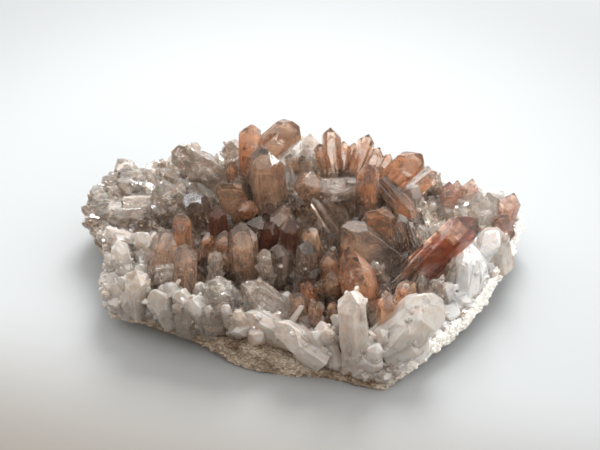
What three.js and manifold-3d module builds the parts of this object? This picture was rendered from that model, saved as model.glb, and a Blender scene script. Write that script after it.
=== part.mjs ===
// A red phantom quartz cluster: a slab of pale rock, a bed of milky quartz grown on it, and the points that
// stand in the bed. Millimetres, +Z up. The origin is on the flat the cluster rests on, under its middle.
import * as THREE from "three";
import { mergeVertices } from "three/addons/utils/BufferGeometryUtils.js";
import Module from "manifold-3d";

const wasm = await Module();
wasm.setup();

// Driving dimensions
const gap = 0.3; // clearance where one piece meets another
const middle = [-1.7, -3.9]; // the specimen's middle, in the plan that all places below are given in
const overallWidth = 160; // left rim to right rim
const drawnWidth = 160; // the width that the rim points below are given for
const size = overallWidth / drawnWidth;
const rockMiddle = 4.5; // height of the rock's top under the middle of the bed
const bedMiddle = 11; // height of the bed's top in the hollow at its middle
const restShare = 0.56; // share of the way to the rim over which the underside is flat
const sliver = 0.05; // edges shorter than this, left by the cuts, are closed up
const rimSectors = 30; // steps round the rim
const rhombSlope = THREE.MathUtils.degToRad(51.8); // a quartz point's faces slope this much from level
const rootDepth = 3.5; // how far a large point goes on below the root given for it
const usualTaper = 1.2; // degrees by which a prism face leans in towards the tip

// The rim, anticlockwise from the right-hand end: place in plan, then the heights of the underside's edge,
// of the line where rock meets quartz, and of the top of the quartz. The inset is how far the quartz stays
// back from the rock's edge.
const rim = [
  { at: [78, 20], low: 7, rock: 10, bed: 16 },
  { at: [69, 31], low: 7, rock: 11, bed: 17 },
  { at: [55, 37], low: 6, rock: 12, bed: 17 },
  { at: [34, 43], low: 5, rock: 12, bed: 19 },
  { at: [9, 48], low: 4, rock: 12, bed: 21 },
  { at: [-19, 47], low: 4, rock: 13, bed: 23 },
  { at: [-45, 45], low: 5, rock: 13, bed: 24 },
  { at: [-64, 41], low: 8, rock: 13, bed: 22 },
  { at: [-76, 33], low: 9, rock: 13, bed: 20 },
  { at: [-80, 21], low: 9, rock: 12, bed: 17 },
  { at: [-72, 4], low: 8, rock: 10, bed: 15 },
  { at: [-69, -10], low: 7, rock: 9, bed: 14 },
  { at: [-67, -24], low: 6, rock: 7.5, bed: 12 },
  { at: [-53, -30], low: 5, rock: 7, bed: 12 },
  { at: [-37, -35], low: 3, rock: 9, bed: 12, inset: 1.5 },
  { at: [-21, -45], low: 1, rock: 10, bed: 13, inset: 5 },
  { at: [-7, -48], low: 0.3, rock: 6, bed: 11, inset: 4 },
  { at: [8, -50], low: 0.2, rock: 3.5, bed: 8, inset: 1 },
  { at: [24, -55], low: 0.5, rock: 2.5, bed: 7 },
  { at: [33, -49], low: 1, rock: 4, bed: 8 },
  { at: [46, -37], low: 2, rock: 5, bed: 9 },
  { at: [57, -24], low: 3, rock: 6, bed: 10 },
  { at: [66, -9], low: 4, rock: 7, bed: 12 },
  { at: [73, 6], low: 6, rock: 9, bed: 14 },
];

// Where the bed swells up under the points at the back
const mounds = [
  { at: [16, 29], radius: 18, height: 9 },
  { at: [-15, 32], radius: 16, height: 4 },
  { at: [35, 21], radius: 15, height: 6 },
];

// The large points, by node. Those that share a node grew into each other and are one solid. Each has its
// root, its tip, its width across the flats, the turn of its faces about its own axis, and what differs from
// a plain point: flat (its thickness over its width), taper (degrees), chisel (how far two opposite tip
// faces are cut back) and lean (how far the tip sits off the axis, as shares of half the width).
const points = {
  red_prism: [{ root: [33, -18.5, 12], tip: [56.5, -12, 38], width: 10.2, turn: 10, chisel: 2.5, flat: 0.85 }],
  brown_point_front: [
    { root: [20, -29, 10], tip: [14, -26, 37], width: 13, turn: 22, taper: 3.5, flat: 0.85, lean: [-0.1, -0.3] },
  ],
  white_point_front: [{ root: [17, -48, 7], tip: [14, -47, 35], width: 8.8, turn: 0, taper: 2, sunk: 1 }],
  pale_wedge_right: [
    { root: [27, -45, 9], tip: [44, -40, 29], width: 13, turn: 30, flat: 0.8, taper: 3, chisel: 3, sunk: 1 },
    { root: [27, -48, 8], tip: [39, -46, 15], width: 8, turn: 10, flat: 0.8, sunk: 1 },
  ],
  orange_pair_right: [
    { root: [29, -38, 11], tip: [33, -33, 28], width: 5.5, turn: 5 },
    { root: [25, -41, 10], tip: [27, -38, 27], width: 6, turn: 25 },
  ],
  brown_points_centre: [
    { root: [33, -10, 12], tip: [12, -14, 35], width: 10.5, turn: 12, chisel: 2 },
    { root: [31, 2, 12], tip: [22, -6, 36], width: 12, turn: 28, chisel: 3, flat: 0.9 },
  ],
  tall_points_back: [
    { root: [-11, 16, 10], tip: [-14, 21, 45], width: 11.5, turn: 18, flat: 0.9, lean: [-0.2, 0] },
    { root: [-7, 18, 19], tip: [-9, 0, 24], width: 6.5, turn: 0 },
  ],
  orange_point_back: [{ root: [-20, 30, 17], tip: [-20, 32, 46], width: 8.5, turn: 0, lean: [0.2, 0] }],
  tilted_point_back: [{ root: [-22, 39, 22], tip: [-2, 32, 47], width: 9.5, turn: 20, chisel: 3 }],
  hexagon_point: [{ root: [6, 32, 16], tip: [0, 12, 34], width: 9.5, turn: 30 }],
  milky_point_back: [{ root: [25, 30, 20], tip: [4, 14, 30], width: 7.5, turn: 0, flat: 0.8 }],
  orange_prism_back: [{ root: [23, 16, 13], tip: [22, 15, 41], width: 7.8, turn: 30, flat: 0.85 }],
  orange_fan: [
    { root: [11, 31, 17], tip: [9, 35, 43], width: 6.5, turn: 12, chisel: 1 },
    { root: [10, 32, 17], tip: [5, 34, 37], width: 4.5, turn: 20, chisel: 1 },
    { root: [14, 31, 17], tip: [14, 32, 39], width: 4.5, turn: 20 },
    { root: [16, 33, 17], tip: [18, 34, 37], width: 4, turn: 0 },
    { root: [15, 30, 17], tip: [23, 32, 42], width: 5.5, turn: 28, chisel: 0.5 },
    { root: [20, 32, 17], tip: [27, 31, 37], width: 4.8, turn: 10 },
    { root: [24, 33, 17], tip: [31, 31, 34], width: 4.2, turn: 20 },
  ],
  orange_points_top_right: [
    { root: [23.5, 26, 15], tip: [41.5, 21, 41], width: 9.5, turn: 25, chisel: 1.5 },
    { root: [30, 20, 26], tip: [40, 6, 21], width: 6.8, turn: 15, flat: 0.8 },
    { root: [32, 21, 17], tip: [48, 27, 29], width: 5, turn: 0 },
  ],
  pink_points_right: [
    { root: [54, 22, 15], tip: [52, 24, 27], width: 7.5, turn: 12 },
    { root: [59, 24, 14], tip: [61, 27, 26], width: 5.5, turn: 25 },
    { root: [55, 26, 14], tip: [56, 29, 24], width: 4.5, turn: 5 },
  ],
  grey_block_right: [{ root: [66, 13, 12], tip: [63, 18, 29], width: 10, turn: 25, chisel: 3.5 }],
  pink_points_far_right: [
    { root: [70, 12, 12], tip: [74, 14, 29], width: 6, turn: 15 },
    { root: [69, 6, 11], tip: [72, 9, 22], width: 7.5, turn: 0 },
  ],
  wide_point_left: [{ root: [-53, -18, 11], tip: [-45, -14, 34], width: 9.5, turn: 15, flat: 0.8, taper: 3 }],
  orange_point_left: [{ root: [-42, -6, 12], tip: [-42, -4, 34], width: 6.2, turn: 20, chisel: 1.5 }],
  window_point_left: [{ root: [-41, -24, 10], tip: [-39, -22, 34], width: 9, turn: 2, flat: 0.85 }],
  red_point_left: [{ root: [-31, 1, 12], tip: [-30, 2, 32], width: 5.8, turn: 10 }],
  brown_point_left: [{ root: [-29, -9, 12], tip: [-27, -8, 29], width: 6.5, turn: 25 }],
  tall_point_left: [{ root: [-21, -16, 10], tip: [-21, -12, 36], width: 10, turn: 27, chisel: 1.5, flat: 0.9 }],
  small_point_left: [{ root: [-30, -19, 10], tip: [-30, -17, 27], width: 5, turn: 0 }],
  dark_point_centre: [{ root: [-5, -4, 10], tip: [-5, -3, 30], width: 6, turn: 30 }],
  clear_points_centre: [
    { root: [-1, -19, 9], tip: [1, -17, 32], width: 6, turn: 25, taper: 0.6 },
    { root: [-9, -18, 9], tip: [-9, -17, 30], width: 6.5, turn: 5, taper: 0.6 },
  ],
  orange_points_centre: [
    { root: [9, -17, 10], tip: [8, -15, 26], width: 6, turn: 10 },
    { root: [9, -23, 9], tip: [9, -21, 22], width: 5.5, turn: 25 },
  ],
  brown_block_back_left: [{ root: [-23, 19, 14], tip: [-29, 14, 35], width: 9.5, turn: 15, chisel: 3.5 }],
  ring_point_back_left: [{ root: [-22, 23, 15], tip: [-20, 8, 26], width: 7, turn: 30 }],
  small_point_back_left: [{ root: [-26, 31, 18], tip: [-27, 29, 32], width: 4.5, turn: 0 }],
  facet_point_left: [{ root: [-36, 13, 14], tip: [-40, 9, 34], width: 8, turn: 30, chisel: 2.5 }],
  grey_block_back_left: [{ root: [-33, 36, 21], tip: [-50, 35, 35], width: 12, turn: 20, chisel: 4, flat: 0.8 }],
  grey_point_back: [{ root: [-25, 40, 18], tip: [-27, 37, 36], width: 8, turn: 10 }],
  milky_plate_left: [{ root: [-57, 19, 17], tip: [-74, 14, 19], width: 11, turn: 30, flat: 0.6 }],
  clear_point_front_left: [{ root: [-5, -32, 10], tip: [-21, -28, 22], width: 8.5, turn: 0 }],
  white_point_front_left: [{ root: [-7, -40, 10], tip: [-20, -38, 18], width: 8, turn: 30, flat: 0.75 }],
  white_plate_front: [{ root: [5, -47, 8], tip: [-10, -45, 20], width: 11, turn: 20, flat: 0.6, chisel: 2, sunk: 1 }],
  small_white_front: [{ root: [10, -49, 7], tip: [5, -44, 20], width: 4.5, turn: 10, sunk: 1 }],
  clear_blade_right: [{ root: [47, -18, 10], tip: [51, -16, 28], width: 7, turn: 25, flat: 0.7 }],
  clear_block_right: [{ root: [55, -19, 9], tip: [57, -13, 26], width: 8.5, turn: 5, flat: 0.8 }],
  grey_block_far_right: [{ root: [67, -4, 10], tip: [64, -1, 27], width: 10, turn: 20, chisel: 3, sunk: 1 }],
  white_points_rear: [
    { root: [2, 43, 16], tip: [2, 46, 33.5], width: 7, turn: 20 },
    { root: [-5, 42, 16], tip: [-7, 46, 30], width: 6, turn: 0 },
  ],
};

// The many small points of the bed, given by rings from its middle to its rim
const bedRings = [
  { share: 0.14, count: 4, width: 6, length: 11, lean: 8 },
  { share: 0.34, count: 7, width: 6, length: 12, lean: 14 },
  { share: 0.52, count: 10, width: 6.5, length: 12, lean: 20 },
  { share: 0.7, count: 13, width: 7, length: 12, lean: 30 },
  { share: 0.85, count: 16, width: 8.5, length: 11, lean: 46 },
  { share: 0.95, count: 18, width: 8, length: 8.5, lean: 60 },
];
const bedScatter = 0.75; // how far a small point strays from its even place, as a share of its width

// A number from 0 to 1 that looks random and is the same on each run.
function chance(seed, draw) {
  const wave = Math.sin(seed * 127.1 + draw * 311.7) * 43758.5453;
  return wave - Math.floor(wave);
}

// How far up from the hollow's floor to the rim's top the bed is, at a share of the way to the rim.
function bedRise(share) {
  return Math.pow(share, 1.7);
}

function moundAt(place) {
  return mounds.reduce((sum, { at, radius, height }) => {
    const away = Math.hypot(place.x - at[0] * size, place.y - at[1] * size) / (radius * size);
    return sum + height * size * Math.pow(Math.max(0, 1 - away * away), 2);
  }, 0);
}

// Smooth unevenness from -1 to 1, with lumps about `grain` millimetres across.
function unevenness(p, grain) {
  const k = Math.PI / grain;
  return (
    (Math.sin(p.x * k + 1.3 * Math.sin(p.y * k * 0.7)) +
      Math.sin(p.y * k * 1.1 + 1.7 * Math.sin(p.z * k * 0.9 + 0.6)) +
      Math.sin((p.x + p.y) * k * 0.8 + 2.1 + p.z * k)) /
    3
  );
}

function solidOf(geometry) {
  const bare = geometry.clone();
  bare.deleteAttribute("normal");
  bare.deleteAttribute("uv");
  const merged = mergeVertices(bare, 1e-4);
  return new wasm.Manifold(
    new wasm.Mesh({
      numProp: 3,
      vertProperties: merged.getAttribute("position").array,
      triVerts: new Uint32Array(merged.index.array),
    }),
  );
}

function geometryOf(solid, about) {
  const mesh = solid.getMesh();
  const positions = new Float32Array(mesh.numVert * 3);
  for (let i = 0; i < mesh.numVert; i++) {
    positions.set(mesh.vertProperties.subarray(i * mesh.numProp, i * mesh.numProp + 3), i * 3);
  }
  return new THREE.BufferGeometry()
    .setAttribute("position", new THREE.BufferAttribute(positions, 3))
    .setIndex(new THREE.BufferAttribute(mesh.triVerts, 1))
    .translate(-about.x, -about.y, -about.z);
}

// Cuts leave loose chips, such as a small point's head beyond a large one. Only the largest piece is kept.
function largestPiece(solid) {
  return solid.decompose().reduce((best, piece) => (piece.volume() > best.volume() ? piece : best));
}

function rimCurve(height, held = false) {
  const corners = rim.map(({ at, inset = 0, ...heights }) => {
    const inward = held ? 1 - inset / Math.hypot(...at) : 1;
    return new THREE.Vector3(at[0] * inward, at[1] * inward, heights[height]).multiplyScalar(size);
  });
  return new THREE.CatmullRomCurve3(corners, true, "catmullrom", 0.5);
}
const rimLow = rimCurve("low");
const rimRock = rimCurve("rock");
const rimFoot = rimCurve("rock", true);
const rimBed = rimCurve("bed", true);

// A closed body round the vertical axis. Each row of the profile says where a point of it goes, given how far
// round the rim it is, from 0 to 1.
function lofted(rows) {
  const profile = rows.map((_, k) => new THREE.Vector2(k === 0 || k === rows.length - 1 ? 0 : 1, k));
  const body = new THREE.LatheGeometry(profile, rimSectors);
  const position = body.getAttribute("position");
  for (let i = 0; i < position.count; i++) {
    const sector = Math.floor(i / rows.length) % rimSectors;
    const place = rows[i % rows.length](sector / rimSectors);
    position.setXYZ(i, place.x, place.y, place.z);
  }
  const made = solidOf(body);
  return made.volume() > 0 ? made : solidOf(flipped(body));
}

function flipped(geometry) {
  const turned = geometry.clone();
  const index = turned.index.array;
  for (let i = 0; i < index.length; i += 3) {
    [index[i + 1], index[i + 2]] = [index[i + 2], index[i + 1]];
  }
  return turned;
}

// A row part of the way from the axis to a rim curve, with its height between `middle` and the rim's.
function rowTowards(curve, share, middle, { rise = share * share, grow = 1, rough = 0, grain = 9, lift = 0 } = {}) {
  return (around) => {
    const edge = curve.getPoint(around);
    const place = new THREE.Vector3(edge.x * share * grow, edge.y * share * grow, 0);
    place.z = THREE.MathUtils.lerp(middle, edge.z, rise) + lift;
    const wobble = rough * unevenness(place, grain);
    place.multiply(new THREE.Vector3(1 + wobble / 60, 1 + wobble / 60, 1));
    place.z += wobble * 0.6;
    return place;
  };
}

function rockSolid() {
  const underside = (share, rise, rough) => rowTowards(rimLow, share, 0, { rise, rough, grain: 7 });
  const body = lofted([
    underside(0, 0, 0),
    underside(restShare, 0, 0),
    underside(0.78, 0.25, 0.6),
    underside(0.93, 0.8, 1),
    rowTowards(rimLow, 1, 0, { rough: 1.2, grain: 7 }),
    rowTowards(rimRock, 0.995, 0, { rough: 1.1, grain: 6, lift: -0.4 }),
    rowTowards(rimRock, 0.9, rockMiddle, { rise: 0.9 }),
    rowTowards(rimRock, 0.5, rockMiddle),
    rowTowards(rimRock, 0, rockMiddle),
  ]);
  return body.trimByPlane([0, 0, 1], 0);
}

function bedSlab() {
  return lofted([
    rowTowards(rimFoot, 0, rockMiddle, { lift: -gap }),
    rowTowards(rimFoot, 0.9, rockMiddle, { lift: -2 }),
    rowTowards(rimFoot, 0.975, 0, { lift: -1 }),
    rowTowards(rimBed, 0.985, 0, { lift: -2.5, rough: 1.5, grain: 8 }),
    ...[0.92, 0.73, 0.52, 0.28, 0].map((share) => (around) => {
      const place = rowTowards(rimBed, share, bedMiddle, { rise: bedRise(share), rough: 1.2 * share })(around);
      return place.setZ(place.z + moundAt(place));
    }),
  ]);
}

// Keeps what lies below a plane through `at` with the outward `normal`.
function cutAbove(solid, at, normal) {
  const outward = normal.clone().normalize();
  return solid.trimByPlane([-outward.x, -outward.y, -outward.z], -outward.dot(at));
}

// One quartz point: six prism faces and six tip faces at quartz's own angle. `grow` makes it larger all
// round, for the pocket that a neighbour leaves for it.
function pointSolid(point, grow = 0) {
  const { root, tip, width, turn = 0, flat = 1, taper = usualTaper, chisel = 0, lean = [0, 0] } = point;
  const { tipFaces = 6, sunk = rootDepth } = point;
  const from = new THREE.Vector3(...root).multiplyScalar(size);
  const along = new THREE.Vector3(...tip).multiplyScalar(size).sub(from);
  from.addScaledVector(along.clone().normalize(), -sunk);
  along.setLength(along.length() + sunk);
  const length = along.length();
  const half = width / 2;
  const seed = width * 3.1 + root[0] * 0.7 + root[1] * 1.3;
  const apex = new THREE.Vector3(lean[0] * half, lean[1] * half, length);
  const shoulder = length - half * Math.tan(rhombSlope);
  const stock = new THREE.BoxGeometry(width * 4, width * 4, length + width * 2 + grow);
  stock.translate(0, 0, (length + width * 2 - grow) / 2);
  let solid = solidOf(stock);
  for (let face = 0; face < 6; face++) {
    const angle = (face * Math.PI) / 3;
    const across = new THREE.Vector3(Math.cos(angle), Math.sin(angle), 0);
    const uneven = 0.88 + 0.24 * chance(seed, face);
    const reach = half * uneven * (face % 3 === 0 ? flat : 1);
    const wall = across.clone().setZ(Math.tan(THREE.MathUtils.degToRad(taper)));
    const wallAt = across.clone().multiplyScalar(reach + grow).setZ(shoulder);
    solid = cutAbove(solid, wallAt, wall);
    if (face % (6 / tipFaces) !== 0) {
      continue;
    }
    const slope = across.clone().multiplyScalar(Math.sin(rhombSlope)).setZ(Math.cos(rhombSlope));
    const held = (face % 2) * (0.1 + 0.35 * chance(seed, face + 6)) * half;
    const cutBack = face % 3 === 1 ? chisel : 0;
    const slopeAt = apex.clone().addScaledVector(slope, grow).add(new THREE.Vector3(0, 0, held - cutBack));
    solid = cutAbove(solid, slopeAt, slope);
  }
  const upright = new THREE.Quaternion().setFromUnitVectors(new THREE.Vector3(0, 0, 1), along.clone().normalize());
  const turned = new THREE.Quaternion().setFromAxisAngle(
    new THREE.Vector3(0, 0, 1),
    THREE.MathUtils.degToRad(turn),
  );
  const place = new THREE.Matrix4().compose(from, upright.multiply(turned), new THREE.Vector3(1, 1, 1));
  return solid.transform(place.elements);
}

function joined(solids) {
  return wasm.Manifold.union(solids);
}

// The small points of the bed, each with its root inside the bed and leaning out more towards the rim.
function smallPoints() {
  const made = [];
  for (const [ring, { share, count, width, length, lean }] of bedRings.entries()) {
    for (let i = 0; i < count; i++) {
      const seed = ring * 40 + i;
      const stray = (draw) => (chance(seed, draw) - 0.5) * bedScatter * width;
      const edge = rimBed.getPoint(((i + 0.5 * (ring % 2)) / count) % 1);
      const outward = new THREE.Vector3(edge.x, edge.y, 0).normalize();
      const across = new THREE.Vector3(-outward.y, outward.x, 0);
      const foot = new THREE.Vector3(edge.x * share + stray(1), edge.y * share + stray(2), 0);
      const bedTop = THREE.MathUtils.lerp(bedMiddle, edge.z, bedRise(share));
      foot.z = bedTop + moundAt(foot) - 3.2;
      foot.addScaledVector(outward, -3 * share * share);
      const tilt = THREE.MathUtils.degToRad(lean + 26 * (chance(seed, 3) - 0.5));
      const sideways = THREE.MathUtils.degToRad(50 * (chance(seed, 4) - 0.5));
      const reach = length * (0.7 + 0.6 * chance(seed, 5));
      const aim = new THREE.Vector3(0, 0, Math.cos(tilt))
        .addScaledVector(outward, Math.sin(tilt))
        .addScaledVector(across, Math.sin(sideways))
        .normalize();
      const tip = foot.clone().addScaledVector(aim, reach);
      made.push(
        pointSolid({
          root: foot.divideScalar(size).toArray(),
          tip: tip.divideScalar(size).toArray(),
          width: width * (0.65 + 0.6 * chance(seed, 6)),
          turn: 60 * chance(seed, 7),
          flat: 0.75 + 0.25 * chance(seed, 8),
          tipFaces: 3,
          sunk: 0,
        }),
      );
    }
  }
  return made;
}

const colours = {
  rock: new THREE.Color("#b7a88f"),
  milky: new THREE.Color("#d9d2cb"),
  clear: new THREE.Color("#b9ada3"),
  brown: new THREE.Color("#9c7158"),
  orange: new THREE.Color("#b06a45"),
};

function finishOf(name) {
  const word = ["rock", "milky", "white"].find((w) => name.includes(w));
  if (word) {
    return new THREE.MeshStandardMaterial({ color: colours[word] ?? colours.milky, roughness: 0.6, metalness: 0 });
  }
  const tint = name.match(/red|orange|pink/) ? "orange" : name.match(/brown|dark|tall/) ? "brown" : "clear";
  return new THREE.MeshStandardMaterial({ color: colours[tint], roughness: 0.12, metalness: 0 });
}

function placed(name, solid, about) {
  const mesh = new THREE.Mesh(geometryOf(solid, about), finishOf(name));
  mesh.name = name;
  mesh.position.copy(about);
  return mesh;
}

const cluster = new THREE.Group();
const base = new THREE.Group();
const crystals = new THREE.Group();
cluster.add(base, crystals);
for (const part of [base, crystals]) {
  part.position.set(-middle[0] * size, -middle[1] * size, 0);
}

const rock = rockSolid();
// The room the rock takes with its clearance: a little wider all round, and raised.
const rockWidened = rock.scale([1 + gap / 40, 1 + gap / 40, 1]);
const rockCleared = joined([rock, rockWidened].flatMap((body) => [body, body.translate([0, 0, gap])]));
base.add(placed("rock_matrix", rock, new THREE.Vector3()));

let bed = joined([bedSlab(), ...smallPoints()]).subtract(rockCleared);
let pockets = null;
for (const [name, members] of Object.entries(points)) {
  let solid = joined(members.map((m) => pointSolid(m))).subtract(rockCleared);
  if (pockets) {
    solid = solid.subtract(pockets);
  }
  solid = largestPiece(solid.simplify(sliver));
  const grown = joined(members.map((m) => pointSolid(m, gap)));
  pockets = pockets ? joined([pockets, grown]) : grown;
  crystals.add(placed(name, solid, new THREE.Vector3(...members[0].root).multiplyScalar(size)));
}
bed = largestPiece(bed.subtract(pockets).simplify(sliver));
base.add(placed("milky_quartz_bed", bed, new THREE.Vector3(0, 0, bedMiddle)));

export default cluster;
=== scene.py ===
# %% [markdown]
# # A red phantom quartz cluster
# Quartz points with red-brown dust layers inside them, standing in a bed of milky quartz on pale rock.
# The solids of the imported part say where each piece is. This script gives each one its true facets and
# finish, and adds what is too small or too deep inside for a solid: edges, dust layers, veils and the
# smallest points.

import itertools
import math

import bmesh
import bpy
import numpy as np
from mathutils import Matrix, Vector, noise
from mathutils.bvhtree import BVHTree


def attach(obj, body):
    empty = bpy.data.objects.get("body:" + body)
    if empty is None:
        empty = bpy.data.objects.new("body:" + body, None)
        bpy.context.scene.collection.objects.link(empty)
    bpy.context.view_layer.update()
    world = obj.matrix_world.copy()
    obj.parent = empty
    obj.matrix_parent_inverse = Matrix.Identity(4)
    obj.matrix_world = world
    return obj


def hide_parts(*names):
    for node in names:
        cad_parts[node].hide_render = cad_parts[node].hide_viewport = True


noise.seed_set(7)  # without a seed, Blender's noise is another one on each run
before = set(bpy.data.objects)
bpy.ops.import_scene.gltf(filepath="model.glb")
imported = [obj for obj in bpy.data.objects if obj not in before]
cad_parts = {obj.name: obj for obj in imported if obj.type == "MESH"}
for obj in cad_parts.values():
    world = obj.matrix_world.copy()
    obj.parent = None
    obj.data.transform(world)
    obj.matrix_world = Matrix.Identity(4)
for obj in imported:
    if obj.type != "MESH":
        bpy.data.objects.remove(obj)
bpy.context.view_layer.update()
MM = 0.001
MIDDLE = Vector((-1.7, -3.9, 0))  # the cluster's middle in the plan that the places below are given in


# %% [markdown]
# ## Colours and shader nodes
# Colours are written as they look on a screen, in hex, and one function turns them into the linear light
# that a renderer mixes. A second one fills a node's inputs, and a third adds one shader node with its
# settings and inputs. Nodes could be wired by hand in the editor, but from code they are the same on each
# run.


# %% Helpers for materials
def linear(hex_colour):
    """The linear light of a colour as written for a screen."""
    parts = [int(hex_colour[i : i + 2], 16) / 255 for i in (1, 3, 5)]
    return (*[p / 12.92 if p <= 0.04045 else ((p + 0.055) / 1.055) ** 2.4 for p in parts], 1.0)


def fill(node, inputs):
    """Fills a node's inputs. One that is given a socket is linked, and any other is set."""
    for name, value in inputs.items():
        if isinstance(value, bpy.types.NodeSocket):
            node.id_data.links.new(value, node.inputs[name])
        else:
            node.inputs[name].default_value = value


def add(tree, kind, inputs=None, **settings):
    """Adds one node with its settings and inputs."""
    node = tree.nodes.new(kind)
    for name, value in settings.items():
        setattr(node, name, value)
    fill(node, inputs or {})
    return node


def new_material(name):
    """An empty material with its surface shader and its output."""
    print("material:", name)
    material = bpy.data.materials.new(name)
    material.use_nodes = True
    tree = material.node_tree
    tree.nodes.clear()
    surface = add(tree, "ShaderNodeBsdfPrincipled")
    output = add(tree, "ShaderNodeOutputMaterial", {"Surface": surface.outputs["BSDF"]})
    return material, tree, surface, output


# %% [markdown]
# ## The shape of a quartz point
# A quartz crystal is a six-sided prism that ends in six slanted faces, each 51.8 degrees from level.
# Nature varies how far out each face lies, but not its angle. A cone on a cylinder of six sides would be
# quick to make, but all its faces would be alike. So a point here is the space inside a set of planes:
# its corners are where three planes meet with no other plane cutting them off.

# %% Points as planes
SLOPE = math.radians(51.8)
QUARTZ_IOR = 1.544
ROOT_DEPTH = 3.5  # mm that a large point goes on below the root given for it


def chance(seed, draw):
    """A number from 0 to 1 that looks random and is the same on each run."""
    wave = math.sin(seed * 127.1 + draw * 311.7) * 43758.5453
    return wave - math.floor(wave)


def planes_of(
    length, width, flat=1.0, taper=1.2, chisel=0.0, lean=(0, 0), seed=0.0, tip_faces=6, slope=SLOPE,
    inset=0.0, lower=0.0,
):
    """Outward normals and distances in mm, root at zero and tip up. Flat narrows the prism one way, taper is
    in degrees, chisel cuts two end faces back, inset moves each face inwards, lower brings the tip down."""
    half = width / 2
    apex = np.array([lean[0] * half, lean[1] * half, length - lower])
    shoulder = length - half * math.tan(slope)
    found = [((0, 0, -1), 0.0)]
    for face in range(6):
        across = np.array([math.cos(face * math.pi / 3), math.sin(face * math.pi / 3), 0])
        reach = half * (0.88 + 0.24 * chance(seed, face)) * (flat if face % 3 == 0 else 1)
        wall = across + np.array([0, 0, math.tan(math.radians(taper))])
        wall /= np.linalg.norm(wall)
        found.append((wall, wall @ (across * reach + np.array([0, 0, shoulder])) - inset))
        if face % (6 // tip_faces):
            continue
        facet = across * math.sin(slope) + np.array([0, 0, math.cos(slope)])
        held = (face % 2) * (0.1 + 0.35 * chance(seed, face + 6)) * half
        back = chisel if face % 3 == 1 else 0
        found.append((facet, facet @ (apex + np.array([0, 0, held - back])) - inset))
    return found


def solid_inside(planes, edge, seed=0.0):
    """Corners and faces of the space inside the planes, with its edges bevelled by `edge` mm. Each face also
    gets a number for its finish: 1 on a bevel, and less than a half, drawn for the face, elsewhere."""
    normals = np.array([p[0] for p in planes], float)
    reach = np.array([p[1] for p in planes], float)
    threes = np.array(list(itertools.combinations(range(len(planes)), 3)))
    meets = normals[threes]
    sound = np.abs(np.linalg.det(meets)) > 1e-5
    corners = np.linalg.solve(meets[sound], reach[threes[sound]][..., None])[..., 0]
    corners = corners[(corners @ normals.T <= reach + 1e-6).all(axis=1)]
    corners = np.unique(corners.round(4), axis=0)
    mesh = bmesh.new()
    for corner in corners:
        mesh.verts.new(corner)
    bmesh.ops.convex_hull(mesh, input=mesh.verts)
    bmesh.ops.dissolve_limit(mesh, angle_limit=math.radians(0.6), verts=mesh.verts, edges=mesh.edges)
    rims = set()
    if edge:
        cut = bmesh.ops.bevel(
            mesh, geom=mesh.edges[:], offset=edge, segments=1, profile=0.5, affect="EDGES", clamp_overlap=True
        )
        rims = set(cut["faces"])
    bmesh.ops.recalc_face_normals(mesh, faces=mesh.faces)
    mesh.verts.index_update()
    corners = np.array([v.co for v in mesh.verts])
    finish = [1.0 if f in rims else 0.5 * chance(seed + i, 45) for i, f in enumerate(mesh.faces)]
    made = corners, [[v.index for v in f.verts] for f in mesh.faces], finish
    mesh.free()
    return made


# %% [markdown]
# ## Faces that break up
# The faces of cloudy quartz are seldom one plane. They break up into shallow patches, each tilted its own
# way, and each catches the light by itself. A bump in the material could fake that, but light that passes
# through a crystal follows its real shape. So space is cut into cells, each cell has a slope of its own,
# and the corners of a face, cut fine enough, move out or in by the slope of the cell that they are in.
# What stays flat is joined again, so that the faces stay few.


# %% Patches on a face
def facet_rise(place, size):
    """How high a place is on the tilted facet of its cell, from about -0.5 to 0.5."""
    cell = noise.voronoi(place / size)[1][0]
    tilt = noise.noise_vector(cell * 7.3).normalized()
    return (place / size - cell).dot(tilt)


def worn(shape, step, patch, height, seed):
    """The shape with tilted patches on its faces, `patch` mm wide, that rise by up to `height`. Faces are cut
    until no edge is longer than `step`."""
    corners, faces, finish = shape
    mesh = bmesh.new()
    corners = [mesh.verts.new(c) for c in corners]
    layer = mesh.faces.layers.float.new("finish")
    for face, value in zip(faces, finish):
        mesh.faces.new([corners[i] for i in face])[layer] = value
    bmesh.ops.triangulate(mesh, faces=mesh.faces)
    most_cuts = 7
    for _ in range(most_cuts):
        long = [e for e in mesh.edges if e.calc_length() > step]
        bmesh.ops.subdivide_edges(mesh, edges=long, cuts=1)
        bmesh.ops.triangulate(mesh, faces=[f for f in mesh.faces if len(f.verts) > 3])
    mesh.normal_update()
    shift = Vector((3.7, 1.3, 0.9)) * seed
    long_way = 0.55  # patches are longer along the crystal than across it
    spots = [Vector((v.co.x, v.co.y, long_way * v.co.z)) + shift for v in mesh.verts]
    moves = [v.normal * height * facet_rise(spot, patch) for v, spot in zip(mesh.verts, spots)]
    for corner, move in zip(mesh.verts, moves):
        corner.co += move
    bmesh.ops.dissolve_limit(mesh, angle_limit=math.radians(2.5), verts=mesh.verts, edges=mesh.edges)
    mesh.verts.index_update()
    corners = np.array([v.co for v in mesh.verts])
    made = corners, [[v.index for v in f.verts] for f in mesh.faces], [f[layer] for f in mesh.faces]
    mesh.free()
    return made


def standing(root, tip, turn, sunk=0.0):
    """The matrix that stands a point's shape at its root and aims it at its tip, and the point's length."""
    along = Vector(tip) - Vector(root)
    length = along.length + sunk
    along.normalize()
    aimed = Vector((0, 0, 1)).rotation_difference(along).to_matrix().to_4x4()
    turned = Matrix.Rotation(math.radians(turn), 4, "Z")
    return Matrix.Translation(Vector(root) - along * sunk) @ aimed @ turned, length


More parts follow.
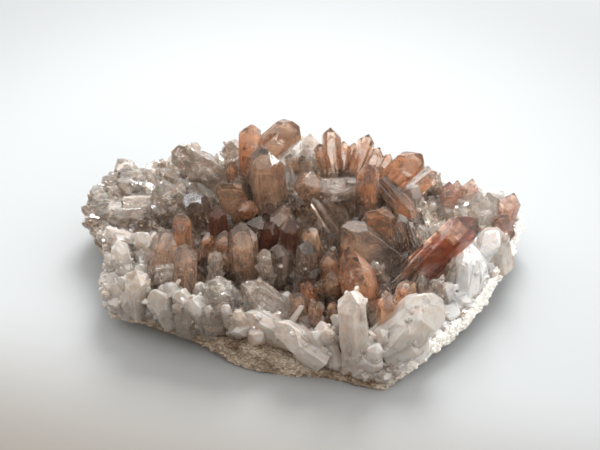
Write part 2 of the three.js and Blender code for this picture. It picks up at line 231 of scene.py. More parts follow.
# %% [markdown]
# ## Heaps of points
# There are more than six thousand points, and an object for each would be slow to load and to render.
# Here many are kept in one mesh. Beside its place, each corner carries where it is inside its own
# crystal, so that patterns follow the crystal and not the room: its place in mm from the root, its share
# of the way to the tip, and a tone drawn once for the whole crystal.


# %% A heap that becomes one mesh
class Heap:
    """Points that become one mesh."""

    def __init__(self):
        self.corners, self.faces, self.local, self.share, self.tone, self.rim = [], [], [], [], [], []
        self.count = 0

    def put(self, shape, place, length, tone, seed, scale=1.0):
        """Adds a shape at a place. Length is what the shares of its corners are of."""
        corners, faces, rims = shape
        local = corners * scale
        matrix = np.array(place)
        self.corners.append(local @ matrix[:3, :3].T + matrix[:3, 3])
        self.faces += [[i + self.count for i in face] for face in faces]
        self.local.append(local + np.array([37.0, 91.0, 53.0]) * chance(seed, 40))
        self.share.append(local[:, 2] / length)
        self.tone.append(np.full(len(corners), tone))
        self.rim += rims
        self.count += len(corners)

    def mesh_object(self, name, material, slot, replaced=()):
        """Makes the object and rides it on the part's one body. The slot is not used."""
        mesh = bpy.data.meshes.new(name)
        places = (np.concatenate(self.corners) - np.array(MIDDLE)) * MM
        mesh.from_pydata(places, [], self.faces)
        for label, kind, field, values in (
            ("local", "FLOAT_VECTOR", "vector", self.local),
            ("share", "FLOAT", "value", self.share),
            ("tone", "FLOAT", "value", self.tone),
        ):
            stored = mesh.attributes.new(label, kind, "POINT")
            stored.data.foreach_set(field, np.concatenate(values).astype(np.float32).ravel())
        mesh.attributes.new("rim", "FLOAT", "FACE").data.foreach_set("value", self.rim)
        mesh.materials.append(material)
        mesh.update()
        piece = bpy.data.objects.new(name, mesh)
        bpy.context.scene.collection.objects.link(piece)
        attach(piece, "root")
        if replaced:
            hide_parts(*replaced)


# %% [markdown]
# ## Clear quartz
# Rock crystal is nearly pure silica: it bends light with an index of 1.544, has next to no colour of its
# own, and natural faces are glossy but carry fine growth lines across the prism. Here traces in the
# crystal give it a faint smoky brown. A brown colour on the surface would make thin and thick points
# alike, so the brown is an absorption inside, and thick points are darker.

# %% Clear quartz material
def crystal_pattern(tree, stretch, scale, detail=4.0):
    """Noise that follows each crystal, stretched by (x, y, z) in its own directions. Scale is per mm."""
    where = add(tree, "ShaderNodeAttribute", attribute_name="local")
    moved = add(tree, "ShaderNodeVectorMath", {0: where.outputs["Vector"], 1: stretch}, operation="MULTIPLY")
    return add(tree, "ShaderNodeTexNoise", {"Vector": moved.outputs[0], "Scale": scale, "Detail": detail})


def growth_bump(tree, height):
    """Growth lines across the prism, a twentieth as high as the swells of the faces. Height is in mm. The
    lines are 0.4 mm apart, coarser than many real ones, which would be too fine to show."""
    lines = crystal_pattern(tree, (0.25, 0.25, 2.4), 1.0, 2.0)
    swells = crystal_pattern(tree, (0.3, 0.3, 0.2), 1.0, 0.0)
    both = add(
        tree,
        "ShaderNodeMath",
        {0: lines.outputs["Fac"], 1: 1 / 20, 2: swells.outputs["Fac"]},
        operation="MULTIPLY_ADD",
    )
    return add(tree, "ShaderNodeBump", {"Height": both.outputs[0], "Strength": 1.0, "Distance": height * MM})


def edge_roughness(tree, face, edge):
    """Faces are glossy. The edges between them are worn, and catch the light as fine pale lines."""
    rim = add(tree, "ShaderNodeAttribute", attribute_name="rim")
    return add(tree, "ShaderNodeMapRange", {"Value": rim.outputs["Fac"], "To Min": face, "To Max": edge})


def glass_clear(name, tint, density, haze):
    """haze is the share of light that bubbles and cracks near the faces scatter back."""
    material, tree, surface, output = new_material(name)
    fill(surface, {
        "Base Color": linear("#f6ebe1"),
        "IOR": QUARTZ_IOR,
        "Transmission Weight": 1 - haze,
        "Roughness": edge_roughness(tree, 0.02, 0.25).outputs[0],
        "Normal": growth_bump(tree, 0.03).outputs["Normal"],
    })
    smoke = add(tree, "ShaderNodeVolumeAbsorption", {"Color": linear(tint), "Density": density})
    fill(output, {"Volume": smoke.outputs["Volume"]})
    return material


clear_quartz = glass_clear("clear_quartz_natural_faces", "#bf8f69", density=24.0, haze=0.03)

# %% [markdown]
# ## Milky quartz
# Milky quartz is the same mineral, full of bubbles of fluid too small to see, which scatter the light. It
# glows softly and shows little of what is behind it. A volume that scatters would be the truest way and
# takes hours; light that spreads under the surface, beside the light that passes, looks much the same at
# this size. Most points of the rim are milky, with clearer spots. White quartz has more of the bubbles; it
# stands at the right end, and its whiter colour there is partly painted light from the right. Misty quartz
# has few: it looks grey, because more of what is behind shows through.

# %% Milky quartz material
def milky_material(name, dark, pale, see_through, roughness):
    """dark and pale are the colours of its clearer and its cloudier spots."""
    material, tree, surface, _ = new_material(name)
    cloud = crystal_pattern(tree, (1, 1, 0.45), 0.55, 6.0)
    tone = add(tree, "ShaderNodeAttribute", attribute_name="tone")
    shade = add(
        tree,
        "ShaderNodeMath",
        {0: tone.outputs["Fac"], 1: 0.35, 2: cloud.outputs["Fac"]},
        operation="MULTIPLY_ADD",
    )
    spread = add(tree, "ShaderNodeMapRange", {"Value": shade.outputs[0], "From Min": 0.52, "From Max": 0.8})
    milk = add(tree, "ShaderNodeValToRGB", {"Fac": spread.outputs[0]})
    milk.color_ramp.elements[0].color, milk.color_ramp.elements[1].color = linear(dark), linear(pale)
    fill(surface, {
        "Base Color": milk.outputs["Color"],
        "IOR": QUARTZ_IOR,
        "Transmission Weight": see_through,
        "Subsurface Weight": 0.5,
        "Subsurface Radius": (1.0, 0.85, 0.75),
        "Subsurface Scale": 2 * MM,
        "Roughness": edge_roughness(tree, roughness, roughness + 0.1).outputs[0],
        "Normal": growth_bump(tree, 0.05).outputs["Normal"],
    })
    return material


milky_quartz = milky_material("milky_quartz_fluid_inclusions", "#efddd0", "#fffcf7", 0.67, 0.03)
# partly painted light: a whiter, less see-through copy of the milky quartz, for the right end
white_quartz = milky_material("whiter_quartz_inclusions_and_painted_light", "#fefdfc", "#ffffff", 0.33, 0.06)
misty_quartz = milky_material("misty_quartz_few_inclusions", "#e6d5c7", "#fcf5ee", 0.87, 0.03)

# %% [markdown]
# ## Phantoms
# While the crystal grew, iron oxide dust settled on its faces and was then grown over. What is left is a
# thin, dull layer in the shape of the smaller crystal: a phantom. A coloured volume would have soft
# edges, and a phantom's are sharp, so it is a mesh inside the crystal, with holes in its cover. Hematite
# dust is rust-red where it is thick and orange where it is thin. It fades towards the root, and is
# deepest along the edges of the smaller crystal.


# %% Phantom material
def above_start(tree):
    """The share of the length by which a place is above the one where the crystal's dust begins."""
    share = add(tree, "ShaderNodeAttribute", attribute_name="share")
    start = add(tree, "ShaderNodeAttribute", attribute_name="tone")
    limits = {0: share.outputs["Fac"], 1: start.outputs["Fac"]}
    return add(tree, "ShaderNodeMath", limits, operation="SUBTRACT")


def phantom_material(name, thick, thin, least, most):
    """least and most are how much of what is behind the dust hides, where it is thinnest and thickest."""
    material, tree, surface, _ = new_material(name)
    streaks = crystal_pattern(tree, (1, 1, 0.7), 0.22, 0.8)
    rim = add(tree, "ShaderNodeAttribute", attribute_name="rim")
    deep = add(
        tree,
        "ShaderNodeMath",
        {0: rim.outputs["Fac"], 1: -0.2, 2: streaks.outputs["Fac"]},
        operation="MULTIPLY_ADD",
    )
    colour = add(tree, "ShaderNodeValToRGB", {"Fac": deep.outputs[0]})
    colour.color_ramp.elements[0].position, colour.color_ramp.elements[0].color = 0.15, linear(thick)
    colour.color_ramp.elements[1].position, colour.color_ramp.elements[1].color = 0.62, linear(thin)
    fade = add(
        tree,
        "ShaderNodeMapRange",
        {"Value": above_start(tree).outputs[0], "From Min": -0.08, "From Max": 0.1},
        interpolation_type="SMOOTHSTEP",
    )
    dust = crystal_pattern(tree, (1, 1, 0.7), 0.25, 1.0)
    cover = add(
        tree,
        "ShaderNodeMapRange",
        {"Value": dust.outputs["Fac"], "From Min": 0.68, "From Max": 0.32, "To Min": least, "To Max": most},
    )
    on_face = add(
        tree,
        "ShaderNodeMapRange",
        {"Value": rim.outputs["Fac"], "From Min": 0.15, "From Max": 0.3, "To Min": 0.12},
    )
    settled = add(tree, "ShaderNodeMath", {0: on_face.outputs[0], 1: cover.outputs[0]}, operation="MULTIPLY")
    alpha = add(tree, "ShaderNodeMath", {0: fade.outputs[0], 1: settled.outputs[0]}, operation="MULTIPLY")
    fill(surface, {"Base Color": colour.outputs["Color"], "Roughness": 0.7, "Alpha": alpha.outputs[0]})
    return material


phantoms = {
    "red": phantom_material("hematite_dust_red", "#581a0c", "#b45f38", 0.55, 0.97),
    "maroon": phantom_material("hematite_dust_maroon", "#4d2219", "#8f5540", 0.2, 0.6),
    "orange": phantom_material("hematite_dust_orange", "#a9643a", "#f5c69c", 0.25, 0.68),
    "brown": phantom_material("iron_dust_brown", "#94694c", "#e4c6a9", 0.18, 0.6),
    "pink": phantom_material("hematite_dust_pink", "#c88a70", "#efd2c1", 0.15, 0.5),
}

# %% [markdown]
# ## Tinted quartz
# Between its phantoms a stained point holds finer dust, too thin to see as a layer. It tints the crystal
# from where the dust begins up to the tip, as if the glass itself were coloured, and scatters a little
# light. Light takes the base colour each time that it passes a face, so the tint is put there.


# %% Tinted quartz material
def tinted_material(name, tint, haze):
    """haze is the share of light that the dust scatters back."""
    material, tree, surface, output = new_material(name)
    patchy = crystal_pattern(tree, (1, 1, 0.5), 0.22, 2.0)
    uneven = add(
        tree,
        "ShaderNodeMath",
        {0: patchy.outputs["Fac"], 1: 0.5, 2: above_start(tree).outputs[0]},
        operation="MULTIPLY_ADD",
    )
    ramp = add(tree, "ShaderNodeValToRGB", {"Fac": uneven.outputs[0]})
    ramp.color_ramp.elements[0].position, ramp.color_ramp.elements[0].color = 0.15, linear("#f1eae4")
    ramp.color_ramp.elements[1].position, ramp.color_ramp.elements[1].color = 0.42, linear(tint)
    fill(surface, {
        "Base Color": ramp.outputs["Color"],
        "IOR": QUARTZ_IOR,
        "Transmission Weight": 1 - haze,
        "Roughness": edge_roughness(tree, 0.02, 0.25).outputs[0],
        "Normal": growth_bump(tree, 0.03).outputs["Normal"],
    })
    smoke = add(tree, "ShaderNodeVolumeAbsorption", {"Color": linear("#d9b196"), "Density": 16.0})
    fill(output, {"Volume": smoke.outputs["Volume"]})
    return material


shells = {
    "red": tinted_material("quartz_tinted_red", "#e8bca2", 0.02),
    "maroon": tinted_material("quartz_tinted_maroon", "#c99f8b", 0.05),
    "orange": tinted_material("quartz_tinted_orange", "#f3e4d8", 0.03),
    "brown": tinted_material("quartz_tinted_brown", "#f2e8df", 0.03),
    "pink": tinted_material("quartz_tinted_pink", "#f0d8cb", 0.08),
    "milky": milky_quartz,
    "white": white_quartz,
    "misty": misty_quartz,
    "clear": clear_quartz,
}
slots = {"milky": "milky_quartz", "white": "milky_quartz", "misty": "clear_quartz", "clear": "clear_quartz"}

# %% [markdown]
# ## Veils
# Quartz points are seldom clean inside. Cracks that healed while the crystal grew are left as wisps of
# tiny bubbles, which catch the light as pale, ragged films. The bubbles are too many to model one by one.
# Each film is a thin plate here, with a patchy cover.

# %% Veil material and plates
veil_material, tree, surface, _ = new_material("healed_crack_bubbles")
wisps = crystal_pattern(tree, (1, 1, 1), 0.6, 3.5)
cover = add(
    tree,
    "ShaderNodeMapRange",
    {"Value": wisps.outputs["Fac"], "From Min": 0.47, "From Max": 0.66, "To Max": 0.7},
)
fill(surface, {"Base Color": linear("#f3efec"), "Roughness": 0.35, "Alpha": cover.outputs[0]})


def plate(reach, seed, thickness=0.05):
    """A ragged flat plate, in mm, lying level."""
    sides = 7
    corners = []
    for z in (0, thickness):
        for k in range(sides):
            out = reach * (0.55 + 0.45 * chance(seed, 70 + k))
            turned = 2 * math.pi * k / sides
            corners.append((out * math.cos(turned), out * math.sin(turned), z))
    faces = [list(range(sides))[::-1], list(range(sides, 2 * sides))]
    faces += [[k, (k + 1) % sides, sides + (k + 1) % sides, sides + k] for k in range(sides)]
    return np.array(corners), faces, [0.0] * len(faces)


def put_veils(heap, place, width, length, seed, count):
    """Puts plates in a point, each turned its own way."""
    for number in range(count):
        draw = seed + 0.37 * number
        reach = width * (0.14 + 0.2 * chance(draw, 80))
        along = length * (0.12 + 0.72 * chance(draw, 81))
        tilt = Matrix.Rotation(math.radians(35 + 60 * chance(draw, 82)), 4, "X")
        spin = Matrix.Rotation(2 * math.pi * chance(draw, 83), 4, "Z")
        aside = 0.3 * (0.5 * width - reach)
        spot = Matrix.Translation((aside * math.cos(9 * draw), aside * math.sin(9 * draw), along))
        heap.put(plate(reach, draw), place @ spot @ spin @ tilt, length, 0.5, draw)


# %% [markdown]
# ## The large points
# Each entry has the solid's name, what is inside the points (a phantom's colour, milk or nothing), the
# share of the length where the dust begins, and each point's root, tip and width across the flats in mm.
# Turn is about the point's own axis; chisel, flat, taper and lean say how the point departs from an even
# six-sided one. A point with a kind of its own is made of another quartz than the rest of its group.

# %% Table of large points
CLUSTER = {
    "red_prism": ("red", 0.35, [
        dict(root=(33, -18.5, 12), tip=(56.5, -12, 38), width=10.2, turn=10, chisel=2.5, flat=0.85),
    ]),
    "brown_point_front": ("orange", 0.3, [
        dict(
            root=(20, -29, 10), tip=(14, -26, 37), width=13, turn=22, taper=2.5, flat=0.85, lean=(-0.1, -0.2),
            slope=1.02, companions=False,
        ),
    ]),
    "white_point_front": ("milky", 0, [
        dict(root=(17, -48, 7), tip=(14, -47, 35), width=8.8, turn=0, taper=2, sunk=1),
    ]),
    "pale_wedge_right": ("milky", 0, [
        dict(root=(27, -45, 9), tip=(44, -40, 29), width=13, turn=30, flat=0.8, taper=3, chisel=3, sunk=1),
        dict(root=(27, -48, 8), tip=(39, -46, 15), width=8, turn=10, flat=0.8, sunk=1),
    ]),
    "orange_pair_right": ("orange", 0.45, [
        dict(root=(29, -38, 11), tip=(33, -33, 28), width=5.5, turn=5),
        dict(root=(25, -41, 10), tip=(27, -38, 27), width=6, turn=25),
    ]),
    "brown_points_centre": ("orange", 0.55, [
        dict(root=(33, -10, 12), tip=(12, -14, 35), width=10.5, turn=12, chisel=0.3, kind="brown"),
        dict(root=(31, 2, 12), tip=(22, -6, 36), width=12, turn=28, chisel=3, flat=0.9),
    ]),
    "tall_points_back": ("brown", 0.4, [
        dict(root=(-11, 16, 10), tip=(-14, 21, 45), width=11.5, turn=18, flat=0.9, lean=(-0.2, 0)),
        dict(root=(-7, 18, 19), tip=(-9, 0, 24), width=6.5, turn=0),
    ]),
    "orange_point_back": ("orange", 0.4, [
        dict(root=(-20, 30, 17), tip=(-20, 32, 46), width=8.5, turn=0, lean=(0.2, 0)),
    ]),
    "tilted_point_back": ("brown", 0.25, [
        dict(root=(-22, 39, 22), tip=(-2, 32, 47), width=9.5, turn=20, chisel=3),
    ]),
    "hexagon_point": ("brown", 0.5, [dict(root=(6, 32, 16), tip=(0, 12, 34), width=9.5, turn=30)]),
    "milky_point_back": ("misty", 0, [dict(root=(25, 30, 20), tip=(4, 14, 30), width=7.5, turn=0, flat=0.8)]),
    "orange_prism_back": ("orange", 0.45, [
        dict(root=(23, 16, 13), tip=(22, 15, 41), width=7.8, turn=30, flat=0.85),
    ]),
    "orange_fan": ("orange", 0.5, [
        dict(root=(11, 31, 17), tip=(9, 35, 43), width=6.5, turn=12, chisel=1),
        dict(root=(10, 32, 17), tip=(5, 34, 37), width=4.5, turn=20, chisel=1),
        dict(root=(14, 31, 17), tip=(14, 32, 39), width=4.5, turn=20),
        dict(root=(16, 33, 17), tip=(18, 34, 37), width=4, turn=0),
        dict(root=(15, 30, 17), tip=(23, 32, 42), width=5.5, turn=28, chisel=0.5),
        dict(root=(20, 32, 17), tip=(27, 31, 37), width=4.8, turn=10),
        dict(root=(24, 33, 17), tip=(31, 31, 34), width=4.2, turn=20),
    ]),
    "orange_points_top_right": ("orange", 0.35, [
        dict(root=(23.5, 26, 15), tip=(41.5, 21, 41), width=9.5, turn=25, chisel=1.5),
        dict(root=(30, 20, 26), tip=(40, 6, 21), width=6.8, turn=15, flat=0.8),
        dict(root=(32, 21, 17), tip=(48, 27, 29), width=5, turn=0),
    ]),
    "pink_points_right": ("pink", 0.3, [
        dict(root=(54, 22, 15), tip=(52, 24, 27), width=7.5, turn=12),
        dict(root=(59, 24, 14), tip=(61, 27, 26), width=5.5, turn=25),
        dict(root=(55, 26, 14), tip=(56, 29, 24), width=4.5, turn=5),
    ]),
    "grey_block_right": ("misty", 0, [
        dict(root=(66, 13, 12), tip=(63, 18, 29), width=10, turn=25, chisel=3.5),
    ]),
    "pink_points_far_right": ("pink", 0.2, [
        dict(root=(70, 12, 12), tip=(74, 14, 29), width=6, turn=15),
        dict(root=(69, 6, 11), tip=(72, 9, 22), width=7.5, turn=0),
    ]),
    "wide_point_left": ("brown", 0.5, [
        dict(root=(-53, -18, 11), tip=(-45, -14, 34), width=9.5, turn=15, flat=0.8, taper=3),
    ]),
    "orange_point_left": ("orange", 0.4, [
        dict(root=(-42, -6, 12), tip=(-42, -4, 34), width=6.2, turn=20, chisel=1.5),
    ]),
    "window_point_left": ("brown", 0.35, [
        dict(root=(-41, -24, 10), tip=(-39, -22, 34), width=9, turn=2, flat=0.85),
    ]),
    "red_point_left": ("maroon", 0.3, [dict(root=(-31, 1, 12), tip=(-30, 2, 32), width=5.8, turn=10)]),
    "brown_point_left": ("brown", 0.4, [dict(root=(-29, -9, 12), tip=(-27, -8, 29), width=6.5, turn=25)]),
    "tall_point_left": ("brown", 0.35, [
        dict(root=(-21, -16, 10), tip=(-21, -12, 36), width=10, turn=27, chisel=1.5, flat=0.9),
    ]),
    "small_point_left": ("misty", 0, [dict(root=(-30, -19, 10), tip=(-30, -17, 27), width=5, turn=0)]),
    "dark_point_centre": ("maroon", 0.5, [dict(root=(-5, -4, 10), tip=(-5, -3, 30), width=6, turn=30)]),
    "clear_points_centre": ("clear", 0, [
        dict(root=(-1, -19, 9), tip=(1, -17, 32), width=6, turn=25, taper=0.6),
        dict(root=(-9, -18, 9), tip=(-9, -17, 30), width=6.5, turn=5, taper=0.6),
    ]),
    "orange_points_centre": ("orange", 0.2, [
        dict(root=(9, -17, 10), tip=(8, -15, 26), width=6, turn=10),
        dict(root=(9, -23, 9), tip=(9, -21, 22), width=5.5, turn=25),
    ]),
    "brown_block_back_left": ("brown", 0.2, [
        dict(root=(-23, 19, 14), tip=(-29, 14, 35), width=9.5, turn=15, chisel=3.5),
    ]),
    "ring_point_back_left": ("orange", 0.5, [dict(root=(-22, 23, 15), tip=(-20, 8, 26), width=7, turn=30)]),
    "small_point_back_left": ("orange", 0.5, [
        dict(root=(-26, 31, 18), tip=(-27, 29, 32), width=4.5, turn=0),
    ]),
    "facet_point_left": ("clear", 0, [
        dict(root=(-36, 13, 14), tip=(-40, 9, 34), width=8, turn=30, chisel=2.5),
    ]),
    "grey_block_back_left": ("misty", 0, [
        dict(root=(-33, 36, 21), tip=(-50, 35, 35), width=12, turn=20, chisel=4, flat=0.8),
    ]),
    "grey_point_back": ("misty", 0, [dict(root=(-25, 40, 18), tip=(-27, 37, 36), width=8, turn=10)]),
    "milky_plate_left": ("misty", 0, [
        dict(root=(-57, 19, 17), tip=(-74, 14, 19), width=11, turn=30, flat=0.6),
    ]),
    "clear_point_front_left": ("misty", 0, [dict(root=(-5, -32, 10), tip=(-21, -28, 22), width=8.5, turn=0)]),
    "white_point_front_left": ("milky", 0, [
        dict(root=(-7, -40, 10), tip=(-20, -38, 18), width=8, turn=30, flat=0.75),
    ]),
    "white_plate_front": ("milky", 0, [
        dict(root=(5, -47, 8), tip=(-10, -45, 20), width=11, turn=20, flat=0.6, chisel=2, sunk=1),
    ]),
    "small_white_front": ("milky", 0, [
        dict(root=(10, -49, 7), tip=(5, -44, 20), width=4.5, turn=10, sunk=1),
    ]),
    "clear_blade_right": ("milky", 0, [
        dict(root=(47, -18, 10), tip=(51, -16, 28), width=7, turn=25, flat=0.7),
    ]),
    "clear_block_right": ("white", 0, [
        dict(root=(55, -19, 9), tip=(57, -13, 26), width=8.5, turn=5, flat=0.8),
    ]),
    "grey_block_far_right": ("milky", 0, [
        dict(root=(67, -4, 10), tip=(64, -1, 27), width=10, turn=20, chisel=3, sunk=1),
    ]),
    "white_points_rear": ("milky", 0, [
        dict(root=(2, 43, 16), tip=(2, 46, 33.5), width=7, turn=20),
        dict(root=(-5, 42, 16), tip=(-7, 46, 30), width=6, turn=0),
    ]),
}
print("solids with large points:", len(CLUSTER))

# %% [markdown]
# ## Parallel growth
# A large point is rarely alone. Thin prisms grow along its sides in step with it, and end lower down.
# They break up the plain outline of the large one. They are made like it, from planes, and lean from it
# by 3 degrees at most.


# %% Companions of a large point
def put_companions(heap, place, width, length, seed, tone, many, cloudy):
    """Puts thin prisms around a point. Those of a wide, cloudy point get patches on their faces."""
    for number in range(many):
        draw = seed + 0.61 * number
        thin = width * (0.2 + 0.2 * chance(draw, 91))
        tall = length * (0.35 + 0.45 * chance(draw, 92))
        away = 0.48 * width - 0.35 * thin
        around = 2 * math.pi * (0.4 * chance(draw, 93) + number / many)
        east, north = math.cos(around), math.sin(around)
        lean = Matrix.Rotation(math.radians(3 * chance(draw, 94)), 4, (-north, east, 0))
        spot = Matrix.Translation((away * east, away * north, 0)) @ lean
        planes = planes_of(length=tall, width=thin, flat=0.8, seed=draw, taper=1)
        shape = solid_inside(planes, 0.04, draw)
        if cloudy and width > 6:
            shape = worn(shape, step=1.3, patch=2.0, height=0.2, seed=draw)
        heap.put(shape, place @ spot, tall, tone, draw)


# %% [markdown]
# ## Tiny points
# Late in its growth a cluster gets a second crop of tiny points. They sit on the sides of the cloudy ones
# and on the bed between them. At 1 or 2 mm their edges are too fine to show, so these few ready shapes
# have none.

# %% Tiny points on a large one
TINY = []
for variant in range(8):
    tall = 1.3 + 0.15 * variant
    planes = planes_of(tall, 1.0, flat=0.8, taper=2, chisel=0.2, seed=variant + 0.3, tip_faces=3)
    TINY.append((tall, solid_inside(planes, 0, variant)))
print("tiny shapes:", len(TINY))


def put_druse(heap, place, width, length, seed, tone, count, planes):
    """Puts them on a point's sides, most of them low down. Each foot is inside the point's planes."""
    for number in range(count):
        draw = seed + 0.43 * number
        around = 2 * math.pi * chance(draw, 95)
        height = length * (0.1 + 0.75 * chance(draw, 96) ** 1.5)
        outward = Vector((math.cos(around), math.sin(around), 0))
        foot = outward * (0.4 * width) + Vector((0, 0, height))
        if any(Vector(normal).dot(foot) > reach - 0.1 for normal, reach in planes):
            continue
        wide = 0.7 + 1.2 * chance(draw, 97) ** 2
        aim = (outward * (0.3 + chance(draw, 98)) + Vector((0, 0, 1))).normalized()
        tall, shape = TINY[number % len(TINY)]
        spot, _ = standing(foot, foot + aim, 360 * chance(draw, 99))
        heap.put(shape, place @ spot, tall * wide, tone, draw, scale=wide)


# %% [markdown]
# ## A whole point
# A point is its outside, the companions and tiny points on it, the veils in it, and the dust layers of
# its phantoms. A wide one shows two phantoms, one in the other, and a narrow one shows one. One function
# grows all of that, because the middling points need it too.

# %% Grow a point with all that is in it
CLOUDY = ("milky", "white", "misty")
DRUSE_PER_MM = 4.5  # tiny points for each mm of a cloudy point's width


def grow(
    kind, dust_from, root, tip, turn, width, shell, dust, veils, sunk=ROOT_DEPTH, companions=True, **facts
):
    """Adds the point to the heaps of its outside, its dust and its veils. Facts are those of planes_of."""
    place, length = standing(root, tip, turn, sunk)
    seed = width * 3.1 + root[0] * 0.7 + root[1] * 1.3
    facts.update(length=length, width=width, seed=seed)
    tone = dust_from if kind in phantoms else 0.35 + 0.5 * chance(seed, 30)
    edge = 0.16 if width > 5 else 0.09
    outside = solid_inside(planes_of(**facts), edge, seed)
    if kind in CLOUDY and width > 4:
        outside = worn(outside, step=1.2, patch=3.2, height=0.32, seed=seed)
    shell.put(outside, place, length, tone, seed)
    if companions:
        many = 3 + int(4 * chance(seed, 90)) if width > 6 else 2
        if kind in phantoms:
            many = 1 + int(1.2 * chance(seed, 90))
        put_companions(shell, place, width, length, seed, tone, many, kind in CLOUDY)
    if kind in CLOUDY and width > 4:
        count = int(DRUSE_PER_MM * width)
        put_druse(shell, place, width, length, seed, tone, count, planes_of(**facts))
    in_phantom, in_clear, in_cloudy = (1, 2, 11) if width > 7 else (0, 2, 6) if width > 3 else (0, 0, 0)
    films = in_phantom if kind in phantoms else in_clear if kind == "clear" else in_cloudy
    put_veils(veils, place, width, length, seed, films)
    if kind in phantoms and width > 2.5:
        layers = ((0.1 * width, 0.05), (0.24 * width, 0.16)) if width > 7 else ((0.12 * width, 0.06),)
        band = 0.08 if kind in ("red", "maroon") else 0.04
        for inset, lower in layers:
            inner = planes_of(inset=inset, lower=lower * length, **facts)
            dust.put(solid_inside(inner, band * width, seed + lower), place, length, dust_from, seed)


# %% The large points of the table
veils = Heap()
for name, (kind, dust_from, members) in CLUSTER.items():
    heaps = {}
    for member in members:
        own = member.pop("kind", kind)
        shell, dust = heaps.setdefault(own, (Heap(), Heap()))
        grow(own, dust_from, shell=shell, dust=dust, veils=veils, **member)
    for own, (shell, dust) in heaps.items():
        slot = slots.get(own, "phantom_quartz")
        label = name if own == kind else f"{name}_{own}_member"
        shell.mesh_object(label + "_crystal", shells[own], slot, [name])
        if dust.count:
            dust.mesh_object(label + "_phantom", phantoms[own], slot)
veils.mesh_object("veils_in_large_points", veil_material, "milky_quartz")
print("large points:", sum(len(c[2]) for c in CLUSTER.values()))

# %% [markdown]
# ## The rim and the lie of the bed
# The bed of small points and the rock under it follow the specimen's outline. Each rim point has its
# place in plan and three heights: the underside's edge, the line where rock meets quartz, and the top of
# the quartz. A smooth curve through them gives any place between, so that few numbers are enough.

# %% Rim curves
# in mm: x, y, the heights of the underside's edge, the rock's top and the bed's edge, and the bed's step back
RIM = [
    (78, 20, 7, 10, 16, 0), (69, 31, 7, 11, 17, 0), (55, 37, 6, 12, 17, 0), (34, 43, 5, 12, 19, 0),
    (9, 48, 4, 12, 21, 0), (-19, 47, 4, 13, 23, 0), (-45, 45, 5, 13, 24, 0), (-64, 41, 8, 13, 22, 0),
    (-76, 33, 9, 13, 20, 0), (-80, 21, 9, 12, 17, 0), (-72, 4, 8, 10, 15, 0), (-69, -10, 7, 9, 14, 0),
    (-67, -24, 6, 7.5, 12, 0), (-53, -30, 5, 7, 12, 0), (-37, -35, 3, 9, 12, 1.5), (-21, -45, 1, 10, 13, 5),
    (-7, -48, 0.3, 6, 11, 4), (8, -50, 0.2, 3.5, 8, 1), (24, -55, 0.5, 2.5, 7, 0), (33, -49, 1, 4, 8, 0),
    (46, -37, 2, 5, 9, 0), (57, -24, 3, 6, 10, 0), (66, -9, 4, 7, 12, 0), (73, 6, 6, 9, 14, 0),
]
ROCK_MIDDLE, BED_MIDDLE = 4.5, 11.0
MOUNDS = [((16, 29), 18, 9), ((-15, 32), 16, 4), ((35, 21), 15, 6)]  # middle, reach and height


def rim_curve(height, held):
    """The corners of one line of the rim. Held is for the bed, which stays back where the rock juts out."""
    corners = []
    for x, y, low, rock, bed, inset in RIM:
        inward = 1 - inset / math.hypot(x, y) if held else 1
        corners.append((x * inward, y * inward, {"low": low, "rock": rock, "bed": bed}[height]))
    return np.array(corners, float)


def along_rim(corners, around):
    """A smooth closed curve through the corners, at a share of the way round."""
    step = (around % 1) * len(corners)
    k, t = int(step), step - int(step)
    a, b, c, d = (corners[(k + i) % len(corners)] for i in (-1, 0, 1, 2))
    start, end = 0.5 * (c - a), 0.5 * (d - b)
    near = (2 * t**3 - 3 * t**2 + 1) * b + (t**3 - 2 * t**2 + t) * start
    return near + (3 * t**2 - 2 * t**3) * c + (t**3 - t**2) * end


rim_low, rim_rock = rim_curve("low", False), rim_curve("rock", False)
rim_foot, rim_bed = rim_curve("rock", True), rim_curve("bed", True)


def mound(x, y):
    """How much higher than a plain bowl the bed is at a place, in mm."""
    return sum(h * max(0, 1 - ((x - at[0]) ** 2 + (y - at[1]) ** 2) / r**2) ** 2 for at, r, h in MOUNDS)


def bed_place(share, around):
    """The bed's place at a share of the way out and round."""
    edge = along_rim(rim_bed, around)
    x, y = edge[0] * share, edge[1] * share
    return Vector((x, y, BED_MIDDLE + (edge[2] - BED_MIDDLE) * share**1.7 + mound(x, y)))


print("corners of the rim:", len(RIM))

# %% [markdown]
# ## The bed's ground
# Between the small points the bed is a lumpy crust. Under the milky rim and at the right end it is white,
# and at the right end its colour is painted whiter still: partly its own white, partly painted light from
# the right. In the hollow it is stained brown by the same iron that coloured the phantoms, and its colour
# is painted darker still as painted shade, since little light gets down there. At the foot of the front it
# looks like the rock that it grew on. A displaced plane has no underside, so the crust is a closed skin,
# laid in rings from the middle of its underside round to the middle of its top.


# %% A closed skin
def skin_mesh(name, rows, sectors, material, replaced, roughen):
    """A closed skin of rows of places, from the first row's middle point to the last row's."""
    corners, faces = [rows[0](0)], []
    for row in rows[1:-1]:
        corners += [row(k / sectors) for k in range(sectors)]
    corners.append(rows[-1](0))

    def ring(r, k):
        return 1 + (r - 1) * sectors + k % sectors

    for k in range(sectors):
        faces.append([0, ring(1, k + 1), ring(1, k)])
        for r in range(1, len(rows) - 2):
            faces.append([ring(r, k), ring(r, k + 1), ring(r + 1, k + 1), ring(r + 1, k)])
        faces.append([ring(len(rows) - 2, k), ring(len(rows) - 2, k + 1), len(corners) - 1])
    mesh = bpy.data.meshes.new(name)
    mesh.from_pydata([(roughen(Vector(c)) - MIDDLE) * MM for c in corners], [], faces)
    mesh.materials.append(material)
    solid = bmesh.new()
    solid.from_mesh(mesh)
    bmesh.ops.recalc_face_normals(solid, faces=solid.faces)
    solid.to_mesh(mesh)
    solid.free()
    piece = bpy.data.objects.new(name, mesh)
    bpy.context.scene.collection.objects.link(piece)
    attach(piece, "root")
    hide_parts(*replaced)
    return piece


